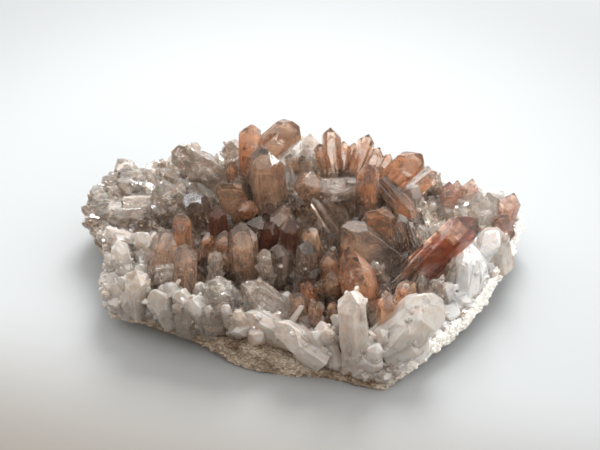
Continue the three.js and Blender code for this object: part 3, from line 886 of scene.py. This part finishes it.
def towards(curve, share, middle, rise=None, lift=0.0):
    """A row of places at a share of the way out to a rim curve."""

    def place(around):
        edge = along_rim(curve, around)
        k = share**2 if rise is None else rise
        return Vector((edge[0] * share, edge[1] * share, middle + (edge[2] - middle) * k + lift))

    return place


# %% Crust material
crust, tree, surface, _ = new_material("quartz_crust_stain_painted_light_and_shade")
where = add(tree, "ShaderNodeTexCoord")
grain = add(
    tree, "ShaderNodeTexNoise", {"Vector": where.outputs["Object"], "Scale": 0.26 / MM, "Detail": 6.0}
)
stain = add(
    tree, "ShaderNodeTexNoise", {"Vector": where.outputs["Object"], "Scale": 0.045 / MM, "Detail": 4.0}
)
HALF_LENGTH, HALF_DEPTH = 75 * MM, 50 * MM  # of the bed
oval = add(
    tree,
    "ShaderNodeVectorMath",
    {0: where.outputs["Object"], 1: (1 / HALF_LENGTH, 1 / HALF_DEPTH, 0)},
    operation="MULTIPLY",
)
# iron stain with painted shade: the crust's colour is darker towards the middle of the bed, in the hollow
out_to = add(tree, "ShaderNodeVectorMath", {0: oval.outputs[0]}, operation="LENGTH")
patchy = add(tree, "ShaderNodeMath", {0: out_to.outputs["Value"], 1: stain.outputs["Fac"]}, operation="ADD")
across = add(tree, "ShaderNodeSeparateXYZ", {"Vector": where.outputs["Object"]})
# paler towards the right end: partly the crust's own white, partly painted light from the right
paler_to_the_right = add(
    tree,
    "ShaderNodeMapRange",
    {"Value": across.outputs["X"], "From Min": 12 * MM, "From Max": 36 * MM, "To Max": 0.5},
    interpolation_type="SMOOTHSTEP",
)
paler = add(tree, "ShaderNodeMath", {0: patchy.outputs[0], 1: paler_to_the_right.outputs[0]}, operation="ADD")
scaled = add(tree, "ShaderNodeMath", {0: paler.outputs[0], 1: 0.67}, operation="MULTIPLY")
shade = add(tree, "ShaderNodeValToRGB", {"Fac": scaled.outputs[0]})
to_front = add(
    tree, "ShaderNodeVectorMath", {0: where.outputs["Object"], 1: (-0.35, -1.0, 0.0)}, operation="DOT_PRODUCT"
)
rocky_edge = add(
    tree,
    "ShaderNodeMapRange",
    {"Value": to_front.outputs["Value"], "From Min": 34 * MM, "From Max": 40 * MM},
    interpolation_type="SMOOTHSTEP",
)
low_down = add(
    tree, "ShaderNodeMapRange", {"Value": across.outputs["Z"], "From Min": 12.5 * MM, "From Max": 9.5 * MM}
)
front_foot = add(
    tree, "ShaderNodeMath", {0: rocky_edge.outputs[0], 1: low_down.outputs[0]}, operation="MULTIPLY"
)
# the darkest colour, in the hollow, is iron stain deepened by painted shade
shade.color_ramp.elements[0].position, shade.color_ramp.elements[0].color = 0.56, linear("#33261f")
shade.color_ramp.elements[1].position, shade.color_ramp.elements[1].color = 0.82, linear("#cfc3b5")
shade.color_ramp.elements.new(1.0).color = linear("#f3f2ee")
edged = add(
    tree,
    "ShaderNodeMixRGB",
    {"Fac": front_foot.outputs[0], "Color1": shade.outputs["Color"], "Color2": linear("#bca68e")},
)
bump = add(tree, "ShaderNodeBump", {"Height": grain.outputs["Fac"], "Strength": 0.6, "Distance": 0.6 * MM})
fill(surface, {"Base Color": edged.outputs["Color"], "Roughness": 0.5, "Normal": bump.outputs["Normal"]})


# %% The bed's crust
def grain_rise(place, size):
    """How far up the nearest grain's dome a place is, from 0 between grains to 1."""
    return 1 - min(1, noise.voronoi(place / size)[0][0] * 1.4)


def lumpy(place):
    """Moves a place of the crust by soft waves 6 mm long and by patches of 4 and 1.7 mm."""
    pushed = place + noise.noise_vector(place / 6.0) * 0.8
    outward = Vector((place.x, place.y, 45)).normalized()
    return pushed + outward * (1.6 * facet_rise(place, 4.0) + 0.7 * facet_rise(place, 1.7))


bed_rows = [towards(rim_foot, 0, ROCK_MIDDLE, lift=-0.3), towards(rim_foot, 0.6, ROCK_MIDDLE, lift=-1)]
bed_rows += [towards(rim_foot, 0.975, 0, rise=1, lift=-0.6)]
bed_rows += [towards(rim_bed, 0.985, 0, rise=1, lift=-d) for d in (3.5, 2.5, 1.5)]
bed_rows += [lambda a, s=s: bed_place(s, a) for s in np.linspace(0.94, 0, 60)]
bed_crust = skin_mesh("quartz_bed_crust", bed_rows, 300, crust, ["milky_quartz_bed"], lumpy)
print("faces of the crust:", len(bed_crust.data.polygons))

# %% [markdown]
# ## The rock
# The underside is pale, sugary rock: quartz and feldspar grains of 0.7 mm and more, cream where fresh and
# rusty where water has carried iron along them. It is dull and rough, and breaks into small steps. Its
# coarse grains are real shapes, since they show in the outline, and its fine ones are a pattern.

# %% Rock material
rock, tree, surface, _ = new_material("pale_granular_rock_rust_stained")
where = add(tree, "ShaderNodeTexCoord")
grains = add(tree, "ShaderNodeTexVoronoi", {"Vector": where.outputs["Object"], "Scale": 1.1 / MM})
blotch = add(
    tree,
    "ShaderNodeTexNoise",
    {"Vector": where.outputs["Object"], "Scale": 0.07 / MM, "Detail": 6.0, "Roughness": 0.65},
)
place_of = add(tree, "ShaderNodeSeparateXYZ", {"Vector": where.outputs["Object"]})
paler_to_the_right = add(
    tree,
    "ShaderNodeMapRange",
    {"Value": place_of.outputs["X"], "From Min": 22 * MM, "From Max": 40 * MM, "To Min": 0.0, "To Max": 0.3},
    interpolation_type="SMOOTHSTEP",
)
fresh = add(tree, "ShaderNodeMath", {0: paler_to_the_right.outputs[0], 1: blotch.outputs["Fac"]}, operation="ADD")
rust = add(tree, "ShaderNodeValToRGB", {"Fac": fresh.outputs[0]})
rust.color_ramp.elements[0].position, rust.color_ramp.elements[0].color = 0.36, linear("#76614e")
rust.color_ramp.elements[1].position, rust.color_ramp.elements[1].color = 0.52, linear("#b2a492")
rust.color_ramp.elements.new(0.74).color = linear("#ebe7df")
value = add(tree, "ShaderNodeSeparateColor", {"Color": grains.outputs["Color"]})
grey = add(tree, "ShaderNodeCombineColor", {k: value.outputs["Red"] for k in ("Red", "Green", "Blue")})
speck = add(
    tree,
    "ShaderNodeMixRGB",
    {"Fac": 0.55, "Color1": rust.outputs["Color"], "Color2": grey.outputs["Color"]},
    blend_type="SOFT_LIGHT",
)
both = add(tree, "ShaderNodeMath", {0: grains.outputs["Distance"], 1: blotch.outputs["Fac"]}, operation="ADD")
bump = add(tree, "ShaderNodeBump", {"Height": both.outputs[0], "Strength": 1.0, "Distance": 0.9 * MM})
fill(surface, {"Base Color": speck.outputs["Color"], "Roughness": 0.85, "Normal": bump.outputs["Normal"]})


# %% The rock's underside
def rocky(place):
    """Moves a place of the rock by waves and its grains. The face that it rests on stays level."""
    p = place / 6.0
    pushed = place + noise.noise_vector(p) * 0.9 + noise.noise_vector(p * 3.1) * 0.45
    pushed += Vector((place.x, place.y, 0)).normalized() * 0.8 * grain_rise(place, 1.6)
    pushed.z = 0.0 if place.z < 0.05 else max(0.0, pushed.z)
    return pushed


rock_rows = [towards(rim_low, s, 0, rise=0) for s in np.linspace(0, 0.56, 14)]
rock_rows += [towards(rim_low, s, 0, rise=((s - 0.56) / 0.44) ** 1.4) for s in np.linspace(0.6, 0.98, 26)]
rock_rows += [
    (lambda a, h=h: Vector(along_rim(rim_low, a) * (1 - h) + along_rim(rim_rock, a) * h))
    for h in np.linspace(0, 1, 16)
]
rock_rows += [towards(rim_rock, s, ROCK_MIDDLE) for s in (0.95, 0.8, 0.5, 0)]
underside = skin_mesh("rock_matrix_underside", rock_rows, 480, rock, ["rock_matrix"], rocky)
print("faces of the rock:", len(underside.data.polygons))

# %% [markdown]
# ## Small points
# The bed bristles with small points. Particles could scatter them, but a loop keeps each crystal's own
# directions for its patterns, and is the same on each run. They come from a few ready shapes of different
# proportions, each one smooth and with patches on its faces. Those of the rim are milky and blocky and
# lie outwards; those of the hollow are thin, clear and brownish.

# %% Ready shapes
SLENDER = (1.1, 1.5, 2.1, 2.9, 3.9)  # length for a width of one
READY = []
for slender in SLENDER:
    for variant in range(6):
        seed = slender * 10 + variant
        planes = planes_of(
            length=slender, width=1.0, flat=0.7 + 0.3 * chance(seed, 50), taper=1 + 2 * chance(seed, 51),
            chisel=0.3 * chance(seed, 52), seed=seed, lean=(0.3 * (chance(seed, 53) - 0.5), 0),
        )
        smooth = solid_inside(planes, 0.02, seed)
        broken = worn(smooth, step=0.4, patch=0.5, height=0.05, seed=seed)
        READY.append((slender, smooth, broken))
print("ready shapes:", len(READY))


def small_point(heap, foot, aim, width, length, tone, seed):
    """Adds the ready shape nearest in proportion, with its foot high enough to stay above the table."""
    slender = min(SLENDER, key=lambda s: abs(s - length / width))
    patches = width > 4 and heap is not hollow_points
    shapes = [broken if patches else smooth for s, smooth, broken in READY if s == slender]
    shape = shapes[int(chance(seed, 60) * len(shapes)) % len(shapes)]
    foot = Vector((foot.x, foot.y, max(foot.z, 0.8 * width)))
    place, _ = standing(foot, foot + aim, 360 * chance(seed, 61))
    heap.put(shape, place, slender * width, tone, seed, scale=width)


def outward_at(place):
    """The level way from the bed's middle out through a place."""
    return Vector((place.x, place.y, 0)).normalized()


def leaning(outward, tilt, sideways):
    """The way that a point aims which is tilted outwards and sideways, both in degrees."""
    tilt, sideways = math.radians(tilt), math.radians(sideways)
    across = Vector((-outward.y, outward.x, 0))
    aim = Vector((0, 0, math.cos(tilt))) + outward * math.sin(tilt) + across * math.sin(sideways)
    return aim.normalized()


# %% [markdown]
# ## Where the small points stand
# Rings of larger ones come first. Smaller ones fill the bed between them like the seeds of a sunflower,
# each turned from the last by the same odd angle, so that they are even but make no rows. Each loop
# numbers its draws from a thousand of its own, so that no two loops repeat each other.

# %% Rings of points
rim_points, white_points, grey_points, hollow_points = Heap(), Heap(), Heap(), Heap()


def heap_at(foot):
    """The quartz is whiter at the right end and in front of it, partly as painted light, and greyer at the
    back left.
    """
    if foot.x < -35 and foot.y > 8:
        return grey_points
    return white_points if foot.x > 30 and foot.y < 10 else rim_points


# share of the way out, how many, width and length in mm, tilt outwards in degrees
RINGS = (
    (0.14, 4, 6, 11, 8), (0.34, 7, 6, 12, 14), (0.52, 10, 6.5, 12, 20),
    (0.7, 13, 7, 12, 30), (0.85, 16, 8.5, 11, 46), (0.95, 18, 8, 8.5, 60),
)
for ring, (share, count, width, length, lean) in enumerate(RINGS):
    for i in range(count):
        seed = ring * 40 + i
        edge = Vector(along_rim(rim_bed, (i + 0.5 * (ring % 2)) / count))
        outward = outward_at(edge)
        stray = [(chance(seed, draw) - 0.5) * 0.75 * width for draw in (1, 2)]
        foot = Vector((edge.x * share + stray[0], edge.y * share + stray[1], 0))
        top = BED_MIDDLE + (edge.z - BED_MIDDLE) * share**1.7
        foot.z = top + mound(foot.x, foot.y) - 3.2
        foot += outward * (-3 * share * share)
        aim = leaning(outward, lean + 26 * (chance(seed, 3) - 0.5), 50 * (chance(seed, 4) - 0.5))
        heap = hollow_points if share < 0.6 else heap_at(foot)
        thick, tall = width * (0.65 + 0.6 * chance(seed, 6)), length * (0.7 + 0.6 * chance(seed, 5))
        small_point(heap, foot, aim, thick, tall, 0.3 + 0.5 * chance(seed, 31), seed)
print("points in rings:", sum(count for _, count, *_ in RINGS))

# %% Points between them
GOLDEN = math.pi * (3 - math.sqrt(5))  # the angle from one seed of a sunflower to the next
SCATTERED, SKIRT, GRAINS, SUGAR = 900, 800, 1300, 3200
for i in range(SCATTERED):
    seed = 1000 + i
    share = math.sqrt((i + 0.5) / SCATTERED)
    around = (i * GOLDEN / (2 * math.pi)) % 1
    foot = bed_place(share * 0.97, around)
    outward = outward_at(Vector(along_rim(rim_bed, around)))
    in_hollow = share < 0.62 + 0.2 * (chance(seed, 9) - 0.5)
    tilt = (15 if in_hollow else 20 + 60 * share**3) + 50 * (chance(seed, 3) - 0.5)
    aim = leaning(outward, tilt, 80 * (chance(seed, 4) - 0.5))
    width = (1.6 + 2.2 * chance(seed, 6) ** 2) if in_hollow else (2.2 + 3.6 * chance(seed, 6) ** 2)
    length = width * ((2.0 + 2.2 * chance(seed, 5)) if in_hollow else (1.2 + 1.2 * chance(seed, 5)))
    foot -= aim * width * 0.6
    heap = hollow_points if in_hollow else heap_at(foot)
    small_point(heap, foot, aim, width, length, 0.2 + 0.7 * chance(seed, 31), seed)
print("points between them:", SCATTERED)

# %% [markdown]
# ## The skirt
# From the bed's edge down to where the rock begins, short points lie almost flat and look outwards. At
# the front left the rock is bare, and has none.

# %% Points of the skirt
for i in range(SKIRT):
    seed = 3000 + i
    around, up = (i * GOLDEN / (2 * math.pi)) % 1, chance(seed, 7)
    foot = Vector(along_rim(rim_foot, around) * (1 - up) + along_rim(rim_bed, around) * up)
    bare_rock = up < 0.75 and foot.y < -25 and -60 < foot.x < 8
    if bare_rock:
        continue
    outward = outward_at(foot)
    aim = leaning(outward, 80 - 55 * up + 50 * (chance(seed, 3) - 0.5), 90 * (chance(seed, 4) - 0.5))
    width = 1.6 + 2.6 * chance(seed, 6) ** 2
    length = width * (1.1 + 0.5 * chance(seed, 5))
    heap = white_points if foot.x > 30 else heap_at(foot)
    foot -= outward * 1.0 + aim * 0.6 * width
    foot.z = max(foot.z, 1.2 * width)
    small_point(heap, foot, aim, width, length, 0.2 + 0.7 * chance(seed, 31), seed)
print("points of the skirt:", SKIRT, "less those where the rock is bare")

# %% [markdown]
# ## Grains
# At the right end the skirt is a crust of grains, each the tip of a tiny crystal. The bed's own skin
# looks too smooth there, so tiny points of the same crust stand close together on it.

# %% Grains of the right skirt
grains = Heap()
for i in range(GRAINS):
    seed = 9000 + i
    around, up = 0.79 + 0.2 * chance(seed, 8), chance(seed, 7)
    foot = Vector(along_rim(rim_foot, around) * (1 - up) + along_rim(rim_bed, around) * up)
    outward = outward_at(foot)
    stray = Vector((chance(seed, 3) - 0.5, chance(seed, 4) - 0.5, 0.5 + up))
    aim = (outward * (1.2 - up) + stray).normalized()
    wide = 0.6 + 0.9 * chance(seed, 6) ** 2
    tall, shape = TINY[i % len(TINY)]
    place, _ = standing(foot + outward * 0.3, foot + outward * 0.3 + aim, 360 * chance(seed, 61))
    grains.put(shape, place, tall * wide, 0.2 + 0.7 * chance(seed, 31), seed, scale=wide)
grains.mesh_object("grains_of_the_right_skirt", crust, "milky_quartz")
print("grains:", GRAINS)

# %% [markdown]
# ## Points seen one by one
# Between the large points the photo shows many middling ones clearly. Their places in mm would be hard to
# read off it. So each is given by where its foot and its tip are seen, in pixels of the 600 x 450 frame.
# A ray from the camera through the foot's pixel finds the bed, and the point stands there. Toward is how
# much nearer to the camera the tip is than the foot, in mm.

# %% Camera rays
DOWN, DISTANCE, AIM = math.radians(38), 410.0, Vector((0, 0, 15))
FRAME_WIDE, FRAME_HIGH = 600, 450
FOCAL = 1166.7  # the lens's focal length in pixels: 70 mm before a sensor 36 mm wide
AXIS_PX = (305, 248)  # where the camera's axis meets the frame
EYE = AIM + Vector((0, -math.cos(DOWN), math.sin(DOWN))) * DISTANCE
ground = BVHTree.FromPolygons(
    [tuple(v.co / MM + MIDDLE) for v in bed_crust.data.vertices],
    [tuple(f.vertices) for f in bed_crust.data.polygons],
)


def ray(px, py):
    """The way from the camera through a pixel."""
    forward = Vector((0, math.cos(DOWN), -math.sin(DOWN)))
    up = Vector((0, math.sin(DOWN), math.cos(DOWN)))
    return (forward * FOCAL + Vector((1, 0, 0)) * (px - AXIS_PX[0]) + up * (AXIS_PX[1] - py)).normalized()


def foot_and_tip(foot_px, tip_px, toward):
    """A foot seen just outside the bed is taken to the bed's edge, along the way to the frame's middle."""
    inward = Vector((300 - foot_px[0], 240 - foot_px[1])).normalized()
    seen_at = Vector(foot_px)
    while not (found := ground.ray_cast(EYE, ray(*seen_at)))[0]:
        seen_at += inward
    foot = found[0]
    aimed = ray(*tip_px)
    return foot, EYE + aimed * ((foot.y - toward - EYE.y) / aimed.y)


print("camera's distance in mm:", DISTANCE)

# %% Table of middling points
SEEN = [
    # kind, foot, tip, width in pixels, toward; first the left end and the grey druse behind it
    ("misty", (178, 218), (158, 180), 28, 0), ("misty", (194, 206), (177, 178), 24, 0),
    ("misty", (168, 222), (153, 199), 19, 3), ("clear", (142, 234), (138, 221), 13, 6),
    ("milky", (130, 250), (115, 231), 17, 2), ("milky", (152, 256), (137, 232), 19, 2),
    ("misty", (160, 228), (148, 222), 12, 4), ("milky", (120, 246), (106, 226), 15, 0),
    ("milky", (136, 280), (120, 262), 15, 1), ("milky", (148, 284), (136, 264), 20, 2),
    ("milky", (120, 298), (116, 283), 22, 2), ("milky", (140, 304), (135, 270), 25, 3),
    ("misty", (166, 290), (164, 268), 18, 8), ("milky", (184, 292), (174, 268), 9, 2),
    ("milky", (168, 314), (152, 290), 25, 4), ("milky", (176, 306), (168, 284), 17, 5),
    ("milky", (186, 314), (180, 290), 21, 5), ("milky", (202, 320), (192, 298), 22, 5),
    ("misty", (222, 308), (216, 280), 26, 6), ("misty", (208, 316), (203, 298), 16, 5),
    ("misty", (218, 320), (224, 303), 14, 5), ("milky", (236, 302), (232, 288), 7, 2),
    ("milky", (246, 326), (236, 312), 12, 5), ("milky", (158, 262), (150, 240), 12, 2),
    ("milky", (114, 270), (108, 254), 12, 0), ("milky", (126, 276), (118, 240), 16, 0),
    ("milky", (135, 302), (128, 286), 30, 2), ("misty", (160, 308), (156, 290), 30, 3),
    ("misty", (190, 320), (186, 302), 30, 4), ("misty", (214, 324), (210, 306), 28, 4),
    ("misty", (146, 278), (140, 258), 26, 2), ("misty", (176, 302), (172, 286), 24, 3),
    ("misty", (236, 328), (231, 313), 24, 4), ("misty", (125, 262), (118, 247), 24, 1),
    ("milky", (150, 302), (145, 286), 9, 5), ("milky", (182, 320), (177, 303), 10, 6),
    ("milky", (207, 324), (209, 307), 8, 6), ("milky", (228, 324), (225, 306), 9, 6),
    ("milky", (196, 302), (200, 283), 9, 6), ("milky", (166, 304), (161, 286), 8, 5),
    ("milky", (128, 292), (121, 277), 9, 4), ("milky", (150, 268), (157, 251), 8, 5),
    # the front, with brown clear points in the dip behind the white ones
    ("brown", (301, 320), (296, 292), 15, 3), ("orange", (313, 307), (305, 282), 13, 3),
    ("brown", (323, 302), (319, 281), 11, 3), ("milky", (290, 324), (303, 305), 4.5, 2),
    ("brown", (333, 302), (330, 278), 14, 4), ("brown", (318, 326), (313, 305), 12, 4),
    ("brown", (330, 322), (334, 303), 10, 3), ("orange", (322, 318), (310, 300), 8, 3),
    ("milky", (336, 348), (323, 329), 14, 4), ("milky", (340, 334), (334, 315), 11, 3),
    ("milky", (322, 352), (312, 332), 12, 4), ("milky", (372, 366), (376, 344), 14, 3),
    ("milky", (384, 352), (380, 330), 13, 3),
    # right of the red point's foot, and the white blades of the right front
    ("misty", (441, 302), (436, 281), 15, 6), ("white", (450, 298), (446, 284), 12, 4),
    ("misty", (425, 302), (422, 276), 9, 2), ("brown", (415, 302), (411, 282), 11, 3),
    ("clear", (446, 290), (454, 254), 15, 0), ("white", (486, 268), (470, 246), 9, 2),
    ("white", (462, 290), (464, 252), 14, 3), ("white", (484, 258), (496, 230), 22, 2),
    ("white", (476, 282), (480, 262), 14, 3),
    # behind the red point and at the right end
    ("misty", (464, 234), (455, 206), 27, 0), ("misty", (461, 214), (457, 196), 13, 0),
    ("misty", (484, 240), (482, 215), 9, 0), ("pink", (500, 236), (503, 212), 15, 0),
    ("misty", (426, 190), (428, 165), 15, 0), ("misty", (437, 196), (433, 172), 12, 0),
    ("misty", (422, 198), (420, 182), 10, 3), ("orange", (399, 206), (399, 189), 10, 0),
    ("misty", (412, 190), (408, 174), 12, 0), ("brown", (298, 178), (288, 152), 13, 0),
    ("misty", (314, 178), (314, 153), 12, 0), ("clear", (304, 178), (302, 155), 9, 0),
    # the hollow
    ("maroon", (262, 260), (274, 222), 17, 0), ("misty", (269, 292), (264, 249), 14, 2),
    ("brown", (318, 264), (308, 227), 15, 2), ("clear", (342, 244), (311, 197), 9, -4),
    ("clear", (354, 236), (322, 196), 10, -4), ("brown", (256, 248), (259, 213), 22, -3),
    ("orange", (347, 264), (345, 232), 10, 4), ("misty", (389, 290), (370, 261), 13, 3),
    ("clear", (409, 264), (398, 213), 15, 0), ("clear", (417, 254), (406, 221), 13, 0),
    ("misty", (427, 252), (418, 225), 12, 3), ("clear", (386, 314), (383, 284), 13, 2),
    ("clear", (374, 306), (378, 286), 9, 2), ("clear", (336, 262), (330, 232), 10, 0),
    ("clear", (290, 232), (284, 205), 9, 0), ("orange", (234, 268), (220, 236), 11, 0),
    ("brown", (226, 282), (224, 252), 9, 2), ("orange", (205, 262), (210, 232), 13, 0),
    ("maroon", (222, 250), (225, 222), 10, 0), ("brown", (248, 286), (243, 262), 8, 2),
    ("clear", (356, 214), (340, 186), 9, -3), ("brown", (330, 218), (318, 200), 9, 0),
]

# %% Grow the middling points
kinds = {}
for number, (kind, foot_px, tip_px, pixels, toward) in enumerate(SEEN):
    foot, tip = foot_and_tip(foot_px, tip_px, toward)
    shell, dust, wisps = kinds.setdefault(kind, (Heap(), Heap(), Heap()))
    width = pixels * (foot - EYE).length / FOCAL
    grow(
        kind, 0.1, tuple(foot), tuple(tip), 360 * chance(number, 62), width, shell, dust, wisps, sunk=2.5,
        companions=width > 4, flat=0.7 + 0.3 * chance(number, 63), chisel=0.25 * width * chance(number, 64),
        taper=1 + 2.5 * chance(number, 65),
    )
for kind, (shell, dust, wisps) in kinds.items():
    slot = slots.get(kind, "phantom_quartz")
    shell.mesh_object(f"middling_points_{kind}", shells[kind], slot)
    if dust.count:
        dust.mesh_object(f"middling_phantoms_{kind}", phantoms[kind], slot)
    if wisps.count:
        wisps.mesh_object(f"middling_veils_{kind}", veil_material, "milky_quartz")
print("middling points:", len(SEEN))

# %% [markdown]
# ## Sugar
# Between all the others the bed glitters with points of 1 or 2 mm. They hide the crust, as on the real
# one, and are few enough in faces to have thousands.

# %% Sugar of the tiniest points
sugar = Heap()
for i in range(SUGAR):
    seed = 5000 + i
    share = math.sqrt((i + 0.5) / SUGAR)
    around = (i * GOLDEN / (2 * math.pi)) % 1
    foot = bed_place(share * 0.985, around)
    outward = outward_at(Vector(along_rim(rim_bed, around)))
    aim = leaning(outward, 10 + 70 * share**4 + 70 * (chance(seed, 3) - 0.5), 100 * (chance(seed, 4) - 0.5))
    width = 1.0 + 1.4 * chance(seed, 6) ** 2
    tall, shape = TINY[i % len(TINY)]
    place, _ = standing(foot - aim * 0.4 * width, foot + aim, 360 * chance(seed, 61))
    sugar.put(shape, place, tall * width, 0.1 + 0.8 * chance(seed, 31), seed, scale=width)
sugar.mesh_object("sugar_of_tiny_points", misty_quartz, "milky_quartz")
print("tiniest points:", SUGAR)

# %% The heaps of small points
rim_points.mesh_object("small_points_of_the_rim", milky_quartz, "milky_quartz", ["milky_quartz_bed"])
white_points.mesh_object("small_points_of_the_right_rim", white_quartz, "milky_quartz", ["milky_quartz_bed"])
grey_points.mesh_object("small_points_of_the_back_left", misty_quartz, "milky_quartz", ["milky_quartz_bed"])
hollow_points.mesh_object("small_points_of_the_hollow", clear_quartz, "clear_quartz", ["milky_quartz_bed"])
print("corners of the rim's small points:", rim_points.count)

# %% [markdown]
# ## Table top
# The cluster stands on pale paper, which is matt. Its colour is painted darker towards the front and the
# sides: painted shade for the less light that falls there. A photographer would bend the sheet up behind
# the cluster. From this height a flat one looks the same, if it is so large that its end is out of view.

# %% Paper
paper_mesh = bpy.data.meshes.new("paper")
paper_mesh.from_pydata([(-2, -2, 0), (2, -2, 0), (2, 2, 0), (-2, 2, 0)], [], [(0, 1, 2, 3)])
paper = bpy.data.objects.new("paper", paper_mesh)
bpy.context.scene.collection.objects.link(paper)
pale, tree, surface, _ = new_material("pale_paper")
where = add(tree, "ShaderNodeTexCoord")
slant = add(
    tree, "ShaderNodeVectorMath", {0: where.outputs["Object"], 1: (0.25, 1.0, 0.0)}, operation="DOT_PRODUCT"
)
# painted shade: the paper's colour is darker towards the front left
fade = add(
    tree,
    "ShaderNodeMapRange",
    {"Value": slant.outputs["Value"], "From Min": -105 * MM, "From Max": -30 * MM},
    interpolation_type="SMOOTHSTEP",
)
tint = add(tree, "ShaderNodeValToRGB", {"Fac": fade.outputs[0]})
# the darker colour is painted shade
tint.color_ramp.elements[0].color = linear("#726e69")
tint.color_ramp.elements[1].color = linear("#96999b")
# painted shade: the paper's colour is darker the further it is from behind the cluster
away = add(
    tree,
    "ShaderNodeVectorMath",
    {0: where.outputs["Object"], 1: (-20 * MM, 40 * MM, 0.0)},
    operation="DISTANCE",
)
painted_shade_far_off = add(
    tree,
    "ShaderNodeMapRange",
    {
        "Value": away.outputs["Value"],
        "From Min": 100 * MM,
        "From Max": 240 * MM,
        "To Min": 1.0,
        "To Max": 0.74,
    },
    interpolation_type="SMOOTHSTEP",
)
paper_with_painted_shade = add(
    tree, "ShaderNodeVectorMath", {0: tint.outputs["Color"], 1: painted_shade_far_off.outputs[0]}, operation="MULTIPLY"
)
fill(surface, {"Base Color": paper_with_painted_shade.outputs[0], "Roughness": 0.9})
paper_mesh.materials.append(pale)

# %% [markdown]
# ## Light
# A window behind the cluster and to its right gives the highlights and the shadow, and soft light comes
# from all sides. A picture of a room could light it as well, but here each value can be read. Three small
# panes are seen only as glints on glossy faces.

# %% Light
world = bpy.data.worlds.new("soft_room")
bpy.context.scene.world = world
world.use_nodes = True
room = world.node_tree
where = add(room, "ShaderNodeTexCoord")
towards_window = add(
    room,
    "ShaderNodeVectorMath",
    {0: where.outputs["Generated"], 1: (0.22, 0.64, 0.73)},
    operation="DOT_PRODUCT",
)
near = add(
    room,
    "ShaderNodeMapRange",
    {"Value": towards_window.outputs["Value"], "From Min": -0.5, "From Max": 0.65},
    interpolation_type="SMOOTHSTEP",
)
glow = add(room, "ShaderNodeValToRGB", {"Fac": near.outputs[0]})
glow.color_ramp.elements[0].color = linear("#705d4a")
glow.color_ramp.elements[1].color = linear("#fcfbf9")
rise = add(room, "ShaderNodeSeparateXYZ", {"Vector": where.outputs["Generated"]})
level = add(room, "ShaderNodeMapRange", {"Value": rise.outputs["Z"], "To Min": 3.2, "To Max": 1.75})
background = room.nodes["Background"]
fill(background, {"Color": glow.outputs["Color"], "Strength": level.outputs[0]})


# %% Window and glints
def window(name, place, wide, high, watts, colour, lights=True):
    """A lit pane that faces the cluster. Without lights it is seen only in reflections."""
    lamp = bpy.data.lights.new(name, "AREA")
    lamp.shape, lamp.size, lamp.size_y, lamp.energy, lamp.color = "RECTANGLE", wide, high, watts, colour
    pane = bpy.data.objects.new(name, lamp)
    pane.location = place
    pane.rotation_mode = "QUATERNION"
    pane.rotation_quaternion = (-Vector(place)).to_track_quat("-Z", "Y")
    pane.visible_diffuse = pane.visible_transmission = lights
    bpy.context.scene.collection.objects.link(pane)


window("window", (0.14, 0.64, 0.75), 0.5, 0.5, 14.5, (1.0, 0.995, 0.985))
for number, place in enumerate([(-0.3, -0.91, 0.28), (0.79, 0.16, 0.59), (0.39, -0.74, 0.54)]):
    window(f"pane_{number}", place, 0.08, 0.08, 0.35, (0.93, 0.96, 1.0), False)

# %% [markdown]
# ## Camera
# The camera looks down by 38 degrees through a long lens, as one does for a small thing, so that near and
# far points keep their true proportions. Light has to pass many faces of clear crystal before it is out
# again, so the renderer follows it further than usual.

# %% Camera and renderer
lens = bpy.data.cameras.new("camera")
lens.lens, lens.sensor_width = 70, 36
lens.shift_x = (FRAME_WIDE / 2 - AXIS_PX[0]) / FRAME_WIDE
lens.shift_y = (AXIS_PX[1] - FRAME_HIGH / 2) / FRAME_WIDE
lens.clip_start = 0.01
camera = bpy.data.objects.new("camera", lens)
camera.location = (EYE - MIDDLE) * MM
camera.rotation_euler = (math.pi / 2 - DOWN, 0, 0)
bpy.context.scene.collection.objects.link(camera)
bpy.context.scene.camera = camera
bpy.context.scene.view_settings.view_transform = "Standard"
tracer = bpy.context.scene.cycles
tracer.max_bounces = tracer.transmission_bounces = 16
tracer.transparent_max_bounces = 32
tracer.blur_glossy = 0.0
tracer.sample_clamp_indirect = 3.0
tracer.use_denoising = True
print("lens in mm:", lens.lens)
